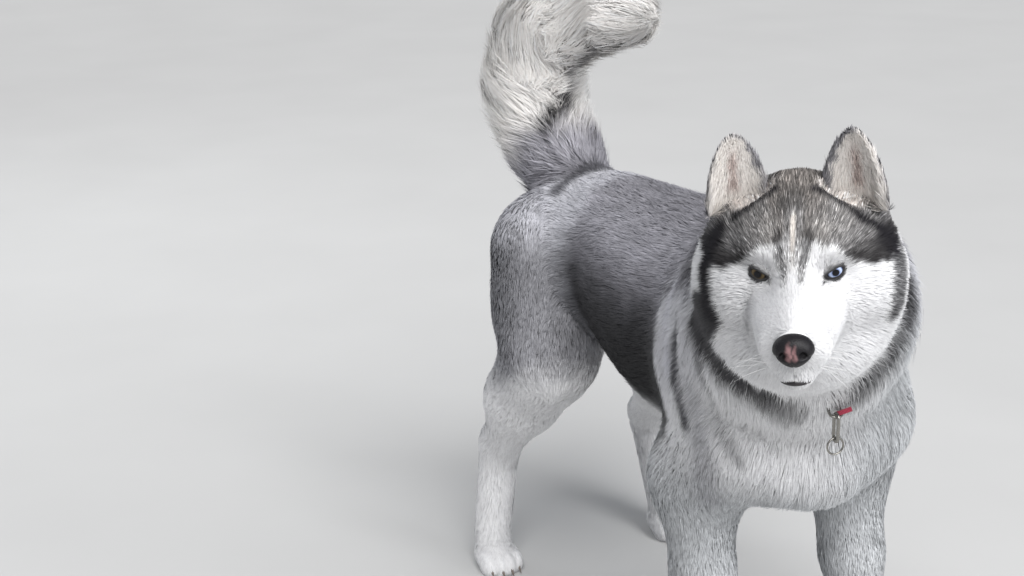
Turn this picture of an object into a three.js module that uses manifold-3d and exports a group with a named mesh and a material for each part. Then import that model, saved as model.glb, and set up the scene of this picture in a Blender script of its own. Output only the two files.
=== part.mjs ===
// A standing Siberian husky with its head turned to its right. Millimetres, floor at z = 0.
// The dog faces -Y, its left side is +X, and every solid reaches out to the tips of the coat.
import * as THREE from 'three';
import { mergeVertices } from 'three/addons/utils/BufferGeometryUtils.js';
import Module from 'manifold-3d';

const wasm = await Module();
wasm.setup();
const degrees = THREE.MathUtils.degToRad;
const vec = (x, y, z) => new THREE.Vector3(x, y, z);
const SIDES = { right: -1, left: 1 };

// Driving dimensions
const GAP = 0.4;
const HEAD_ROOM = 0.8;
const EYE_SPACING = 64;
const EYE_RADIUS = 11.5;
const EYE_SET_IN = 3;
const EYE_DEPTH = 11;
const NOSE_SIZE = vec(17, 12, 12.5);
const NOSE_PLACE = vec(0, 92, -22);
const MOUTH_CORNER = vec(0, 26, -53);
const MOUTH_SLOPE = -8;
const EAR_BASE = vec(50, -66, 32);
const EAR_TIP = vec(51, -60, 104.5);
const EAR_HALF_WIDTH = 29;
const EAR_CUP = 13;
const EAR_THICKNESS = 7;
const FORE_PAW = 1;
const HIND_PAW = 0.92;
const TOES = [-1.5, -0.5, 0.5, 1.5];
const TOE_SPACING = 13.5;
const TOE_REACH = { inner: 27, outer: 20 };
const CLAW_LENGTH = 17;
const CLAW_FORWARD = 17;
const CLAW_CURVE = 3;
const CLAW_RADIUS = 3.2;
const CLAW_TILT = 212;
const CLAW_HEIGHT = 9;
const COLLAR_WIDTH = 20;
const COLLAR_THICKNESS = 4;
const COLLAR_RADIUS = 74;
const COLLAR_SAG = 12;
const RING_RADIUS = 8;
const RING_WIRE = 1.1;
const LINK_WIRE = 1.7;
const LINK_RADIUS = 4.2;
const LINK_STRETCH = 18;
const LINK_PLACE = vec(-60, -379, 435);
const LINK_TURN = -6;
const RING_DROP = -17.8;
const LOOP_WIRE = 1.4;
const LOOP_RADIUS = 6;
const WINDOW_WIDTH = 30;
const WINDOW_RISE = 8;
const CHEST = vec(0, -150, 415);
const WITHERS = vec(0, -175, 508);
const LOIN = vec(0, 110, 444);
const CROUP = vec(0, 208, 436);
const NECK_ROOT = vec(-5, -190, 450);
const NECK_MIDDLE = vec(-45, -285, 520);
const NECK_TOP = vec(-92, -350, 560);
const NECK_AT_COLLAR = vec(-62, -309, 535);
const THROAT = vec(-53, -371, 453);
const TAIL_PATH = [
  vec(0, 285, 485),
  vec(-8, 345, 535),
  vec(-24, 372, 602),
  vec(-25, 350, 668),
  vec(8, 290, 708),
  vec(36, 235, 712),
];
const TAIL_CORE = [26, 18, 15, 13, 11, 8];
const TAIL_COAT = [20, 36, 44, 44, 40, 30];
const FORELEGS = {
  right: { spread: 5, stride: 0 },
  left: { spread: 20, stride: -45 },
};
const HIND_LEGS = {
  right: {
    hip: vec(-60, 246, 440), knee: vec(-88, 185, 322), hock: vec(-98, 314, 165), paw: vec(-113, 310, 0),
  },
  left: { hip: vec(56, 235, 440), knee: vec(98, 165, 310), hock: vec(128, 342, 158), paw: vec(136, 306, 0) },
};

// The head's own frame: origin midway between the pupils, x to its left, y forward, z up
const HEAD_PLACE = vec(-141.7, -433.1, 607);
const HEAD_YAW = -33.7;
const HEAD_PITCH = -7.7;
const HEAD_ROLL = -3.9;
const headTurn = new THREE.Matrix4().makeRotationFromEuler(
  new THREE.Euler(degrees(-HEAD_PITCH), degrees(HEAD_ROLL), degrees(HEAD_YAW), 'ZXY'),
);
const headPoint = (left, forward, up) => vec(left, -forward, up).applyMatrix4(headTurn).add(HEAD_PLACE);
const headWay = (left, forward, up) => vec(left, -forward, up).applyMatrix4(headTurn).normalize();

// Forms: rounded cones, eggs, ears and hollows whose smooth union is the outline of the coat
const FAR = 1e6;

function roundCone(from, to, skin, coat, blend, part) {
  const way = to.clone().sub(from);
  const square = way.lengthSq();
  const radius = [skin[0] + coat[0], skin[1] + coat[1]];
  const distance = (p) => {
    const x = p.x - from.x;
    const y = p.y - from.y;
    const z = p.z - from.z;
    const t = THREE.MathUtils.clamp((x * way.x + y * way.y + z * way.z) / square, 0, 1);
    const off = Math.hypot(x - t * way.x, y - t * way.y, z - t * way.z);
    return off - radius[0] - (radius[1] - radius[0]) * t;
  };
  return { distance, blend, part };
}

function egg(centre, skin, coat, blend, part, turn = new THREE.Matrix4()) {
  const inverse = turn.clone().invert();
  const size = skin.clone().addScalar(coat);
  const q = vec(0, 0, 0);
  const distance = (p) => {
    q.copy(p).sub(centre).applyMatrix4(inverse);
    const near = Math.hypot(q.x / size.x, q.y / size.y, q.z / size.z);
    const slope = Math.hypot(q.x / size.x ** 2, q.y / size.y ** 2, q.z / size.z ** 2);
    return slope > 1e-9 ? (near * (near - 1)) / slope : -Math.min(size.x, size.y, size.z);
  };
  return { distance, blend, part };
}

function smoothUnion(a, b, blend) {
  const h = Math.max(blend - Math.abs(a - b), 0) / blend;
  return Math.min(a, b) - (h * h * blend) / 4;
}

function field(forms, p) {
  let value = FAR;
  for (const form of forms) {
    value = form.hollow
      ? -smoothUnion(-value, form.distance(p), form.blend)
      : smoothUnion(value, form.distance(p), form.blend);
  }
  return value;
}

const pitched = (angle) => new THREE.Matrix4().makeRotationX(degrees(-angle));

// Trunk and neck
const torsoForms = [
  egg(CHEST, vec(74, 115, 112), 16, 40, 'torso', pitched(8)),
  egg(vec(0, -20, 426), vec(84, 140, 108), 15, 40, 'torso'),
  egg(LOIN, vec(68, 140, 86), 15, 50, 'torso'),
  egg(CROUP, vec(64, 84, 78), 13, 40, 'torso'),
  roundCone(WITHERS, vec(0, -50, 505), [30, 32], [22, 18], 50, 'torso'),
  egg(vec(0, -245, 380), vec(52, 50, 66), 24, 50, 'torso'),
  roundCone(NECK_ROOT, NECK_MIDDLE, [84, 68], [28, 40], 50, 'torso'),
  roundCone(NECK_MIDDLE, NECK_TOP, [68, 52], [40, 34], 30, 'torso'),
];

// One paw: a pad under four toes, spread a little from its own middle line
const toeReach = (place) => (Math.abs(place) > 1 ? TOE_REACH.outer : TOE_REACH.inner);

function pawForms(middle, part, size) {
  const forms = [egg(vec(middle.x, middle.y, 17), vec(26 * size, 27 * size, 18), 4, 15, part)];
  for (const place of TOES) {
    const across = middle.x + place * TOE_SPACING * size;
    const toe = vec(across, middle.y - toeReach(place) * size, 11.5);
    forms.push(egg(toe, vec(8.5 * size, 16 * size, 13), 2, 7, part));
  }
  return forms;
}

// Forelegs
function forelegPlaces(side) {
  const s = SIDES[side];
  const { spread, stride } = FORELEGS[side];
  return {
    blade: vec(s * 58, -180, 425),
    point: vec(s * (58 + spread * 0.4), -236, 372),
    elbow: vec(s * (67 + spread * 1.3), -152 + stride * 0.4, 302),
    forearm: vec(s * (68 + spread * 1.15), -166 + stride * 0.6, 200),
    wrist: vec(s * (69 + spread), -177 + stride, 100),
    pastern: vec(s * (70 + spread), -190 + stride, 40),
    paw: vec(s * (70 + spread), -196 + stride, 0),
  };
}

function forelegForms(side) {
  const at = forelegPlaces(side);
  const part = `foreleg_${side}`;
  return [
    egg(at.blade, vec(34, 58, 95), 15, 40, part, pitched(-20)),
    roundCone(at.point, at.elbow, [37, 35], [15, 13], 40, part),
    roundCone(at.elbow, at.forearm, [33, 25], [11, 8], 30, part),
    roundCone(at.forearm, at.wrist, [25, 19], [8, 6], 15, part),
    roundCone(at.wrist, at.pastern, [19, 18], [6, 5], 15, part),
    ...pawForms(at.paw, part, FORE_PAW),
  ];
}

// Hind legs
function hindLegPlaces(side) {
  const s = SIDES[side];
  const { hip, knee, hock, paw } = HIND_LEGS[side];
  return {
    hip,
    knee,
    hock,
    thigh: vec(s * 68, 262, 350),
    calf: knee.clone().lerp(hock, 0.5).add(vec(0, 5, 5)),
    heel: hock.clone().add(vec(0, 6, 4)),
    ankle: vec(paw.x, paw.y + 5, 45),
    paw: vec(paw.x, paw.y - 4, 0),
  };
}

function hindLegForms(side) {
  const at = hindLegPlaces(side);
  const part = `hind_leg_${side}`;
  return [
    egg(at.thigh, vec(38, 70, 88), 15, 40, part, pitched(25)),
    roundCone(at.hip, at.knee, [56, 38], [14, 11], 40, part),
    roundCone(at.knee, at.calf, [40, 35], [12, 11], 30, part),
    roundCone(at.calf, at.hock, [33, 18], [9, 6], 20, part),
    roundCone(at.heel, at.ankle, [19, 18], [6, 5], 15, part),
    ...pawForms(at.paw, part, HIND_PAW),
  ];
}

// Tail
const tailForms = TAIL_PATH.slice(1).map((point, i) =>
  roundCone(
    TAIL_PATH[i], point,
    [TAIL_CORE[i], TAIL_CORE[i + 1]], [TAIL_COAT[i], TAIL_COAT[i + 1]],
    i === 0 ? 30 : 12, 'tail',
  ));

// Head
const headEgg = (left, forward, up, l, f, u, coat, blend) =>
  egg(headPoint(left, forward, up), vec(l, f, u), coat, blend, 'head', headTurn);
const headCone = (from, to, skin, coat, blend) =>
  roundCone(headPoint(...from), headPoint(...to), skin, coat, blend, 'head');
const headForms = [
  headEgg(0, -67, 4, 55, 55, 50, 9, 20),
  headEgg(0, -35, 15, 31, 24, 18, 6, 22),
  headEgg(0, -70, -36, 50, 40, 46, 20, 30),
];
for (const s of Object.values(SIDES)) {
  headForms.push(headEgg(s * 24, -15, 12, 15, 11, 8, 4, 14));
  headForms.push(headEgg(s * 42, -44, -26, 24, 36, 28, 9, 22));
  headForms.push(headEgg(s * 47, -72, -34, 22, 30, 42, 20, 30));
  headForms.push(headEgg(s * 57, -75, 34, 13, 12, 26, 4, 16));
}
headForms.push(headCone([0, -10, -16], [0, 80, -21], [20, 11], [5, 3], 18));
for (const s of Object.values(SIDES)) {
  headForms.push(headCone([s * 17, -5, -34], [s * 15, 66, -33], [24, 17], [5, 3], 16));
}
headForms.push(headCone([0, -15, -64], [0, 69, -55], [26, 12], [8, 4], 15));
headForms.push(headEgg(0, -50, -76, 40, 40, 30, 22, 30));
for (const s of Object.values(SIDES)) {
  const orbit = headEgg(s * 34, 13, -1, 15, 17, 10, -2, 10);
  headForms.push({ ...orbit, hollow: true });
}

const legForms = {};
for (const side of Object.keys(SIDES)) {
  legForms[`foreleg_${side}`] = forelegForms(side);
  legForms[`hind_leg_${side}`] = hindLegForms(side);
}
const everyForm = [...torsoForms, ...Object.values(legForms).flat(), ...tailForms, ...headForms];

// A closed skin of rings round a path. Each point walks outwards from the path until it meets the
// surface of all forms, or a little beyond its own forms where it would run into a neighbour.
const FRAMES = 80;
function skinAround(path, around, rings, own, all, options = {}) {
  const { fillet = 10, cap = 0.12, grow = 0, floor = false, ceiling = FAR } = options;
  const geometry = new THREE.SphereGeometry(1, around, rings);
  const position = geometry.attributes.position;
  const curve = new THREE.CatmullRomCurve3(path);
  const { tangents, normals, binormals } = curve.computeFrenetFrames(FRAMES);
  const direction = vec(0, 0, 0);
  const point = vec(0, 0, 0);
  for (let i = 0; i < position.count; i += 1) {
    const latitude = Math.acos(THREE.MathUtils.clamp(position.getY(i), -1, 1)) / Math.PI;
    const along = THREE.MathUtils.clamp((latitude - cap) / (1 - 2 * cap), 0, 1);
    const seed = curve.getPointAt(along);
    const frame = Math.round(along * FRAMES);
    const turn = Math.atan2(position.getZ(i), position.getX(i));
    const past = latitude < cap ? latitude / cap - 1 : Math.max(0, (latitude - 1 + cap) / cap);
    const lean = past * Math.PI / 2;
    direction.set(0, 0, 0);
    direction.addScaledVector(normals[frame], Math.cos(turn) * Math.cos(lean));
    direction.addScaledVector(binormals[frame], Math.sin(turn) * Math.cos(lean));
    direction.addScaledVector(tangents[frame], Math.sin(lean));
    let walked = 0;
    for (let step = 0; step < 60; step += 1) {
      point.copy(seed).addScaledVector(direction, walked);
      const left = Math.max(field(all, point), field(own, point) - fillet) - grow;
      walked -= left * 0.8;
      if (Math.abs(left) < 0.05) {
        break;
      }
    }
    point.copy(seed).addScaledVector(direction, walked);
    if (floor) {
      point.z = Math.max(point.z, 0);
    }
    if (point.z > ceiling) {
      point.copy(seed).addScaledVector(direction, (ceiling - seed.z) / direction.z);
    }
    position.setXYZ(i, point.x, point.y, point.z);
  }
  return geometry;
}

// Solids: merged closed meshes that can be cut and joined
function solid(geometry) {
  const bare = geometry.clone();
  bare.deleteAttribute('normal');
  bare.deleteAttribute('uv');
  const merged = mergeVertices(bare, 1e-3);
  const mesh = new wasm.Mesh({
    numProp: 3,
    vertProperties: new Float32Array(merged.attributes.position.array),
    triVerts: new Uint32Array(merged.index.array),
  });
  return new wasm.Manifold(mesh);
}

function geometryOf(body) {
  const { vertProperties, triVerts } = body.getMesh();
  const geometry = new THREE.BufferGeometry();
  geometry.setAttribute('position', new THREE.BufferAttribute(new Float32Array(vertProperties), 3));
  geometry.setIndex(new THREE.BufferAttribute(new Uint32Array(triVerts), 1));
  return geometry;
}

const biggest = (body) => body.decompose().reduce((a, b) => (a.volume() > b.volume() ? a : b));

// A wide slab of space between two heights along a direction, measured from a point
const WIDE = 3000;
function slab(origin, way, low, high) {
  const box = new THREE.BoxGeometry(WIDE, high - low, WIDE);
  box.translate(0, (low + high) / 2, 0);
  box.applyQuaternion(new THREE.Quaternion().setFromUnitVectors(vec(0, 1, 0), way.clone().normalize()));
  box.translate(origin.x, origin.y, origin.z);
  return solid(box);
}

// Parts a body into lengths at the given heights along a direction, with a thin gap at each cut
function parted(body, origin, way, heights) {
  const ends = [-WIDE, ...heights, WIDE];
  return ends.slice(1).map((high, i) => {
    const low = i === 0 ? -WIDE : ends[i] + GAP / 2;
    const top = high === WIDE ? WIDE : high - GAP / 2;
    return biggest(body.intersect(slab(origin, way, low, top)));
  });
}

// Materials
const finish = (color, roughness, metalness = 0) => (
  new THREE.MeshStandardMaterial({ color, roughness, metalness })
);
const whiteCoat = finish(0xe6e4e2, 0.9);
const greyCoat = finish(0x77767c, 0.9);
const creamCoat = finish(0xd8d2cb, 0.9);
const noseLeather = finish(0x1d1a1c, 0.4);
const amberEye = finish(0x5a4420, 0.1);
const blueEye = finish(0x9dbbe0, 0.1);
const horn = finish(0x3a3432, 0.5);
const webbing = finish(0x9a1230, 0.8);
const steel = finish(0xb8b6b0, 0.25, 1);

const husky = new THREE.Group();
const headFrame = new THREE.Group();
headFrame.applyMatrix4(headTurn.clone().setPosition(HEAD_PLACE));
husky.add(headFrame);
function add(name, body, material, home = husky) {
  const mesh = new THREE.Mesh(body.isBufferGeometry ? body : geometryOf(body), material);
  mesh.name = name;
  home.add(mesh);
  return mesh;
}
const inHead = (geometry) => solid(geometry.clone().applyMatrix4(headFrame.matrix));

// Torso: one skin from the croup to the back of the head
const torsoPath = [
  vec(0, 225, 436), vec(0, 110, 442), vec(0, -20, 432), vec(0, -130, 434),
  vec(-14, -215, 470), vec(-45, -285, 520), vec(-72, -325, 545),
];
const torsoSkin = (grow) =>
  solid(skinAround(torsoPath, 20, 23, torsoForms, everyForm, { fillet: 1, grow }));
const torso = torsoSkin(0);
const aroundTorso = torsoSkin(GAP);

// Head: one skin from the nape to the lips
const headPath = [
  headPoint(0, -88, -8), headPoint(0, -45, -14), headPoint(0, 10, -28), headPoint(0, 64, -34),
];
const headSkin = (around, rings, grow) =>
  solid(skinAround(headPath, around, rings, headForms, headForms, { fillet: 2, cap: 0.2, grow }));
const wholeHead = headSkin(24, 25, 0);
const aroundHead = headSkin(24, 25, HEAD_ROOM);

// Eyes: balls whose fronts stand just clear of the lids
function eyeBall(side, grow) {
  const ball = new THREE.SphereGeometry(EYE_RADIUS + grow, 12, 7);
  ball.rotateX(-Math.PI / 2);
  ball.translate(SIDES[side] * (EYE_SPACING / 2 - EYE_SET_IN), EYE_DEPTH, 0);
  return ball;
}

// Nose: a leather pad, broad above and narrow below, on the end of the muzzle
function nosePad(grow) {
  const pad = new THREE.SphereGeometry(1, 12, 8);
  const position = pad.attributes.position;
  for (let i = 0; i < position.count; i += 1) {
    const x = position.getX(i);
    const y = position.getY(i);
    const z = position.getZ(i);
    const narrowing = 1 - 0.28 * Math.max(0, -y);
    const across = x * narrowing * (NOSE_SIZE.x + grow);
    position.setXYZ(i, across, -z * (NOSE_SIZE.y + grow), y * (NOSE_SIZE.z + grow));
  }
  pad.translate(NOSE_PLACE.x, -NOSE_PLACE.y, NOSE_PLACE.z);
  return pad;
}

// Ears: cupped leaves, open to the front
function earLeaf(side) {
  const s = SIDES[side];
  const base = headPoint(s * EAR_BASE.x, EAR_BASE.y, EAR_BASE.z);
  const tip = headPoint(s * EAR_TIP.x, EAR_TIP.y, EAR_TIP.z);
  const length = tip.distanceTo(base);
  const along = tip.clone().sub(base).normalize();
  const across = headWay(s * 53, 18, -13);
  across.addScaledVector(along, -across.dot(along)).normalize();
  const front = along.clone().cross(across);
  front.multiplyScalar(Math.sign(front.dot(headWay(0, 1, 0))));
  const leaf = new THREE.SphereGeometry(1, 12, 9);
  const position = leaf.attributes.position;
  for (let i = 0; i < position.count; i += 1) {
    const turn = Math.atan2(position.getZ(i), position.getX(i));
    const round = Math.hypot(position.getX(i), position.getZ(i));
    const t = 0.5 + position.getY(i) / 2;
    const closing = Math.min(1, round / 0.6);
    const half = EAR_HALF_WIDTH * (1 - t * t) ** 0.75 * (t < 0.5 ? closing : 1);
    const x = Math.cos(turn) * half;
    const cup = EAR_CUP * (1 - 0.55 * t) * (1 - (x / EAR_HALF_WIDTH) ** 2);
    const thick = Math.sin(turn) * (EAR_THICKNESS / 2) * closing;
    const point = base.clone().addScaledVector(along, t * length);
    point.addScaledVector(across, x);
    point.addScaledVector(front, thick - cup);
    position.setXYZ(i, point.x, point.y, point.z);
  }
  return leaf;
}

// A leaf or pad may come out inside out on one side of the mirror
function outward(geometry) {
  const body = solid(geometry);
  if (body.volume() > 0) {
    return body;
  }
  const turned = geometry.clone();
  const { array } = turned.index;
  for (let i = 0; i < array.length; i += 3) {
    [array[i + 1], array[i + 2]] = [array[i + 2], array[i + 1]];
  }
  return solid(turned);
}

// Collar: a band round the middle of the neck, low at the throat
const neckWay = NECK_TOP.clone().sub(NECK_ROOT).normalize();
const throatWay = THROAT.clone().sub(NECK_AT_COLLAR);
throatWay.addScaledVector(neckWay, -throatWay.dot(neckWay)).normalize();
const collarAcross = neckWay.clone().cross(throatWay);
const collarMiddle = NECK_AT_COLLAR.clone().addScaledVector(throatWay, COLLAR_SAG);
const collarTurn = new THREE.Matrix4().makeBasis(collarAcross, neckWay, throatWay).setPosition(collarMiddle);
function band(inner, outer, low, high) {
  const profile = [
    new THREE.Vector2(inner, low), new THREE.Vector2(outer, low),
    new THREE.Vector2(outer, high), new THREE.Vector2(inner, high), new THREE.Vector2(inner, low),
  ];
  return outward(new THREE.LatheGeometry(profile, 22).applyMatrix4(collarTurn));
}

// The collar's ring hangs from a long link at the throat
function wireLoop(radius, wire, stretch) {
  const loop = new THREE.TorusGeometry(radius, wire, 5, 14);
  const position = loop.attributes.position;
  for (let i = 0; i < position.count; i += 1) {
    position.setY(i, position.getY(i) + Math.sign(Math.round(position.getY(i) * 100)) * stretch / 2);
  }
  return loop;
}

// Tail
const tailSkin = (grow) => (
  solid(skinAround(TAIL_PATH, 13, 16, tailForms, everyForm, { fillet: 10, cap: 0.1, grow }))
);
const tailSolid = tailSkin(0);
const aroundTail = tailSkin(GAP);

// Legs: each is one skin down to the ankle and a second one round the paw, then parted at the joints
const PAW_TOP = 34;
const LEG_SKIN = { fillet: 12, cap: 0.1 };
const PAW_SKIN = { fillet: 0, cap: 0.3, floor: true };
function legSolids(name, path, pawMiddle, size, joint, bend, bendWay) {
  const own = legForms[name];
  const heel = vec(pawMiddle.x, pawMiddle.y + 12 * size, 19);
  const toes = vec(pawMiddle.x, pawMiddle.y - 24 * size, 14);
  const paw = (grow) =>
    solid(skinAround([heel, toes], 15, 9, own, own, { ...PAW_SKIN, ceiling: PAW_TOP - GAP / 2, grow }));
  const half = slab(vec(0, 0, 0), vec(Math.sign(pawMiddle.x), 0, 0), GAP / 2, WIDE);
  const limb = solid(skinAround([...path, heel], 11, 16, own, everyForm, LEG_SKIN));
  const ground = slab(vec(0, 0, 0), vec(0, 0, 1), PAW_TOP + GAP / 2, WIDE);
  const leg = biggest(limb.subtract(aroundTorso).subtract(aroundTail).intersect(half).intersect(ground));
  const [shank, upper] = parted(leg, joint, vec(0, 0, 1), [0]);
  const [pastern, lower] = parted(shank, bend, bendWay, [0]);
  return { paw: paw(0), pawRoom: paw(GAP), pastern, lower, upper };
}

// Claws: short bent cones, one on each toe
function clawSolids(pawMiddle, size, paw) {
  return TOES.map((place) => {
    const cone = new THREE.ConeGeometry(CLAW_RADIUS, CLAW_LENGTH, 5, 1);
    const position = cone.attributes.position;
    for (let i = 0; i < position.count; i += 1) {
      const bend = (position.getY(i) / CLAW_LENGTH + 0.5) ** 2 * CLAW_CURVE;
      position.setZ(i, position.getZ(i) + bend);
    }
    cone.rotateX(degrees(CLAW_TILT));
    const across = pawMiddle.x + place * TOE_SPACING * size;
    cone.translate(across, pawMiddle.y - (toeReach(place) + CLAW_FORWARD) * size, CLAW_HEIGHT);
    return biggest(outward(cone).subtract(paw));
  });
}

const legSides = {};
for (const side of Object.keys(SIDES)) {
  const fore = forelegPlaces(side);
  const top = vec(fore.blade.x * 0.95, -188, 440);
  const shoulder = vec(fore.blade.x * 1.05, -195, 370);
  const elbow = vec(fore.elbow.x, fore.elbow.y - 12, 300);
  const forePath = [top, shoulder, elbow, fore.forearm, fore.wrist, fore.pastern];
  legSides[`foreleg_${side}`] = {
    middle: fore.paw,
    size: FORE_PAW,
    ...legSolids(`foreleg_${side}`, forePath, fore.paw, FORE_PAW, elbow, fore.wrist, vec(0, 0, 1)),
  };
  const hind = hindLegPlaces(side);
  const rump = vec(hind.hip.x * 0.95, 238, 420);
  const thigh = vec(hind.thigh.x * 1.05, 238, 355);
  const gaskin = hind.knee.clone().lerp(hind.hock, 0.3).add(vec(0, 0, 8));
  const hindPath = [rump, thigh, gaskin, hind.heel, hind.ankle];
  const hockWay = hind.hock.clone().sub(hind.ankle).normalize();
  hockWay.add(hind.knee.clone().sub(hind.hock).normalize());
  legSides[`hind_leg_${side}`] = {
    middle: hind.paw,
    size: HIND_PAW,
    ...legSolids(`hind_leg_${side}`, hindPath, hind.paw, HIND_PAW, gaskin, hind.hock, hockWay),
  };
}

// Collar, link and ring
const collar = band(COLLAR_RADIUS - COLLAR_THICKNESS, COLLAR_RADIUS, -COLLAR_WIDTH, 0);
const channel = band(
  COLLAR_RADIUS - COLLAR_THICKNESS - GAP, COLLAR_RADIUS + GAP, -COLLAR_WIDTH - GAP, GAP);
const parting = new THREE.BoxGeometry(WINDOW_WIDTH, COLLAR_WIDTH + WINDOW_RISE, 80);
parting.translate(0, (WINDOW_RISE - COLLAR_WIDTH) / 2, COLLAR_RADIUS + 38);
parting.applyMatrix4(collarTurn);
const window = solid(parting);
const linkFrame = new THREE.Group();
linkFrame.position.copy(LINK_PLACE);
linkFrame.rotation.set(0, 0, degrees(LINK_TURN));
husky.add(linkFrame);
linkFrame.updateMatrix();
const link = wireLoop(LINK_RADIUS, LINK_WIRE, LINK_STRETCH);
link.rotateY(Math.PI / 2);
link.rotateX(Math.PI / 2);
const ring = wireLoop(RING_RADIUS, RING_WIRE, 0);
ring.rotateX(Math.PI / 2);
ring.translate(0, 0, RING_DROP);

// The link hangs from a loop that stands out from the collar's lowest point
const loopEnd = linkFrame.position.clone();
loopEnd.z += LINK_STRETCH / 2 + LINK_RADIUS - LINK_WIRE - LOOP_WIRE - GAP;
const collarFront = collarMiddle.clone();
collarFront.addScaledVector(throatWay, COLLAR_RADIUS);
collarFront.addScaledVector(neckWay, -COLLAR_WIDTH / 2);
const loopWay = collarFront.clone().sub(loopEnd);
const loopLength = loopWay.length() - LOOP_WIRE - GAP;
loopWay.normalize();
const loopAcross = vec(1, 0, 0).applyQuaternion(linkFrame.quaternion);
loopAcross.addScaledVector(loopWay, -loopAcross.dot(loopWay)).normalize();
const loopTurn = new THREE.Matrix4().makeBasis(loopAcross, loopWay, loopAcross.clone().cross(loopWay));
const collarLoop = wireLoop(LOOP_RADIUS, LOOP_WIRE, loopLength - 2 * LOOP_RADIUS);
collarLoop.translate(0, loopLength / 2, 0);
collarLoop.applyMatrix4(loopTurn.setPosition(loopEnd));

// Torso parted at the neck's root, along the collar's upper edge, and across the back
const neckRoot = vec(-20, -235, 480);
const collarHeight = collarMiddle.clone().sub(neckRoot).dot(neckWay);
const pocketed = torso.subtract(aroundHead).subtract(channel).subtract(window);
const [trunk, neckLower, neckUpper] = parted(pocketed, neckRoot, neckWay, [0, collarHeight + GAP]);
const [chest, belly, rump] = parted(trunk, vec(0, 0, 0), vec(0, 1, 0), [-60, 130]);
add('chest', chest, greyCoat);
add('belly', belly, greyCoat);
add('rump', rump, greyCoat);
add('neck_lower', neckLower, greyCoat);
add('neck_upper', neckUpper, greyCoat);
add('collar', collar, webbing);
add('collar_loop', collarLoop, steel);
for (const [name, leg] of Object.entries(legSides)) {
  add(`${name}_upper`, leg.upper, greyCoat);
  add(`${name}_lower`, leg.lower, whiteCoat);
  add(`${name}_pastern`, leg.pastern, whiteCoat);
  add(`${name}_paw`, leg.paw, whiteCoat);
  const claws = clawSolids(leg.middle, leg.size, leg.pawRoom);
  claws.forEach((body, i) => add(`${name}_claw_${i + 1}`, body, horn));
}
const [tailRoot, tailRest] = parted(tailSolid.subtract(aroundTorso), TAIL_PATH[1], vec(0, 0.5, 1), [0]);
const [tailLower, tailLast] = parted(tailRest, TAIL_PATH[2], vec(-0.1, -0.1, 1), [0]);
const [tailUpper, tailEnd] = parted(tailLast, TAIL_PATH[3], vec(0.35, -1, 0.8), [0]);
add('tail_root', tailRoot, greyCoat);
add('tail_lower', tailLower, creamCoat);
add('tail_upper', tailUpper, creamCoat);
add('tail_tip', tailEnd, creamCoat);

// Head parted along the mouth line, with sockets for the eyes and the nose
const mouthBox = new THREE.BoxGeometry(200, 120, 200);
mouthBox.translate(0, -60 - MOUTH_CORNER.y, -100);
mouthBox.rotateX(degrees(MOUTH_SLOPE));
mouthBox.translate(0, 0, MOUTH_CORNER.z);
const below = inHead(mouthBox);
const thinCut = inHead(mouthBox.clone().translate(0, GAP, GAP));
const noseSocket = inHead(nosePad(GAP));
const eyeSocket = (side) => inHead(eyeBall(side, GAP));
const sockets = Object.keys(SIDES).reduce((all, side) => all.add(eyeSocket(side)), noseSocket);
add('head', biggest(wholeHead.subtract(sockets).subtract(thinCut)), whiteCoat);
add('jaw', biggest(wholeHead.subtract(sockets).intersect(below)), whiteCoat);
for (const side of Object.keys(SIDES)) {
  add(`eye_${side}`, eyeBall(side, 0), side === 'left' ? blueEye : amberEye, headFrame);
  add(`ear_${side}`, biggest(outward(earLeaf(side)).subtract(aroundHead)), whiteCoat);
}
add('nose', nosePad(0), noseLeather, headFrame);
add('ring', ring, steel, linkFrame);
add('link', link, steel, linkFrame);

// The origin: the middle of the footprint, on the floor
husky.updateMatrixWorld(true);
const outline = new THREE.Box3().setFromObject(husky, true);
const middle = outline.getCenter(vec(0, 0, 0));
husky.position.set(-middle.x, -middle.y, -outline.min.z);
export default husky;
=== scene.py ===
import math
import time

import bmesh
import bpy
import numpy as np
from mathutils import Matrix, Vector


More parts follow.
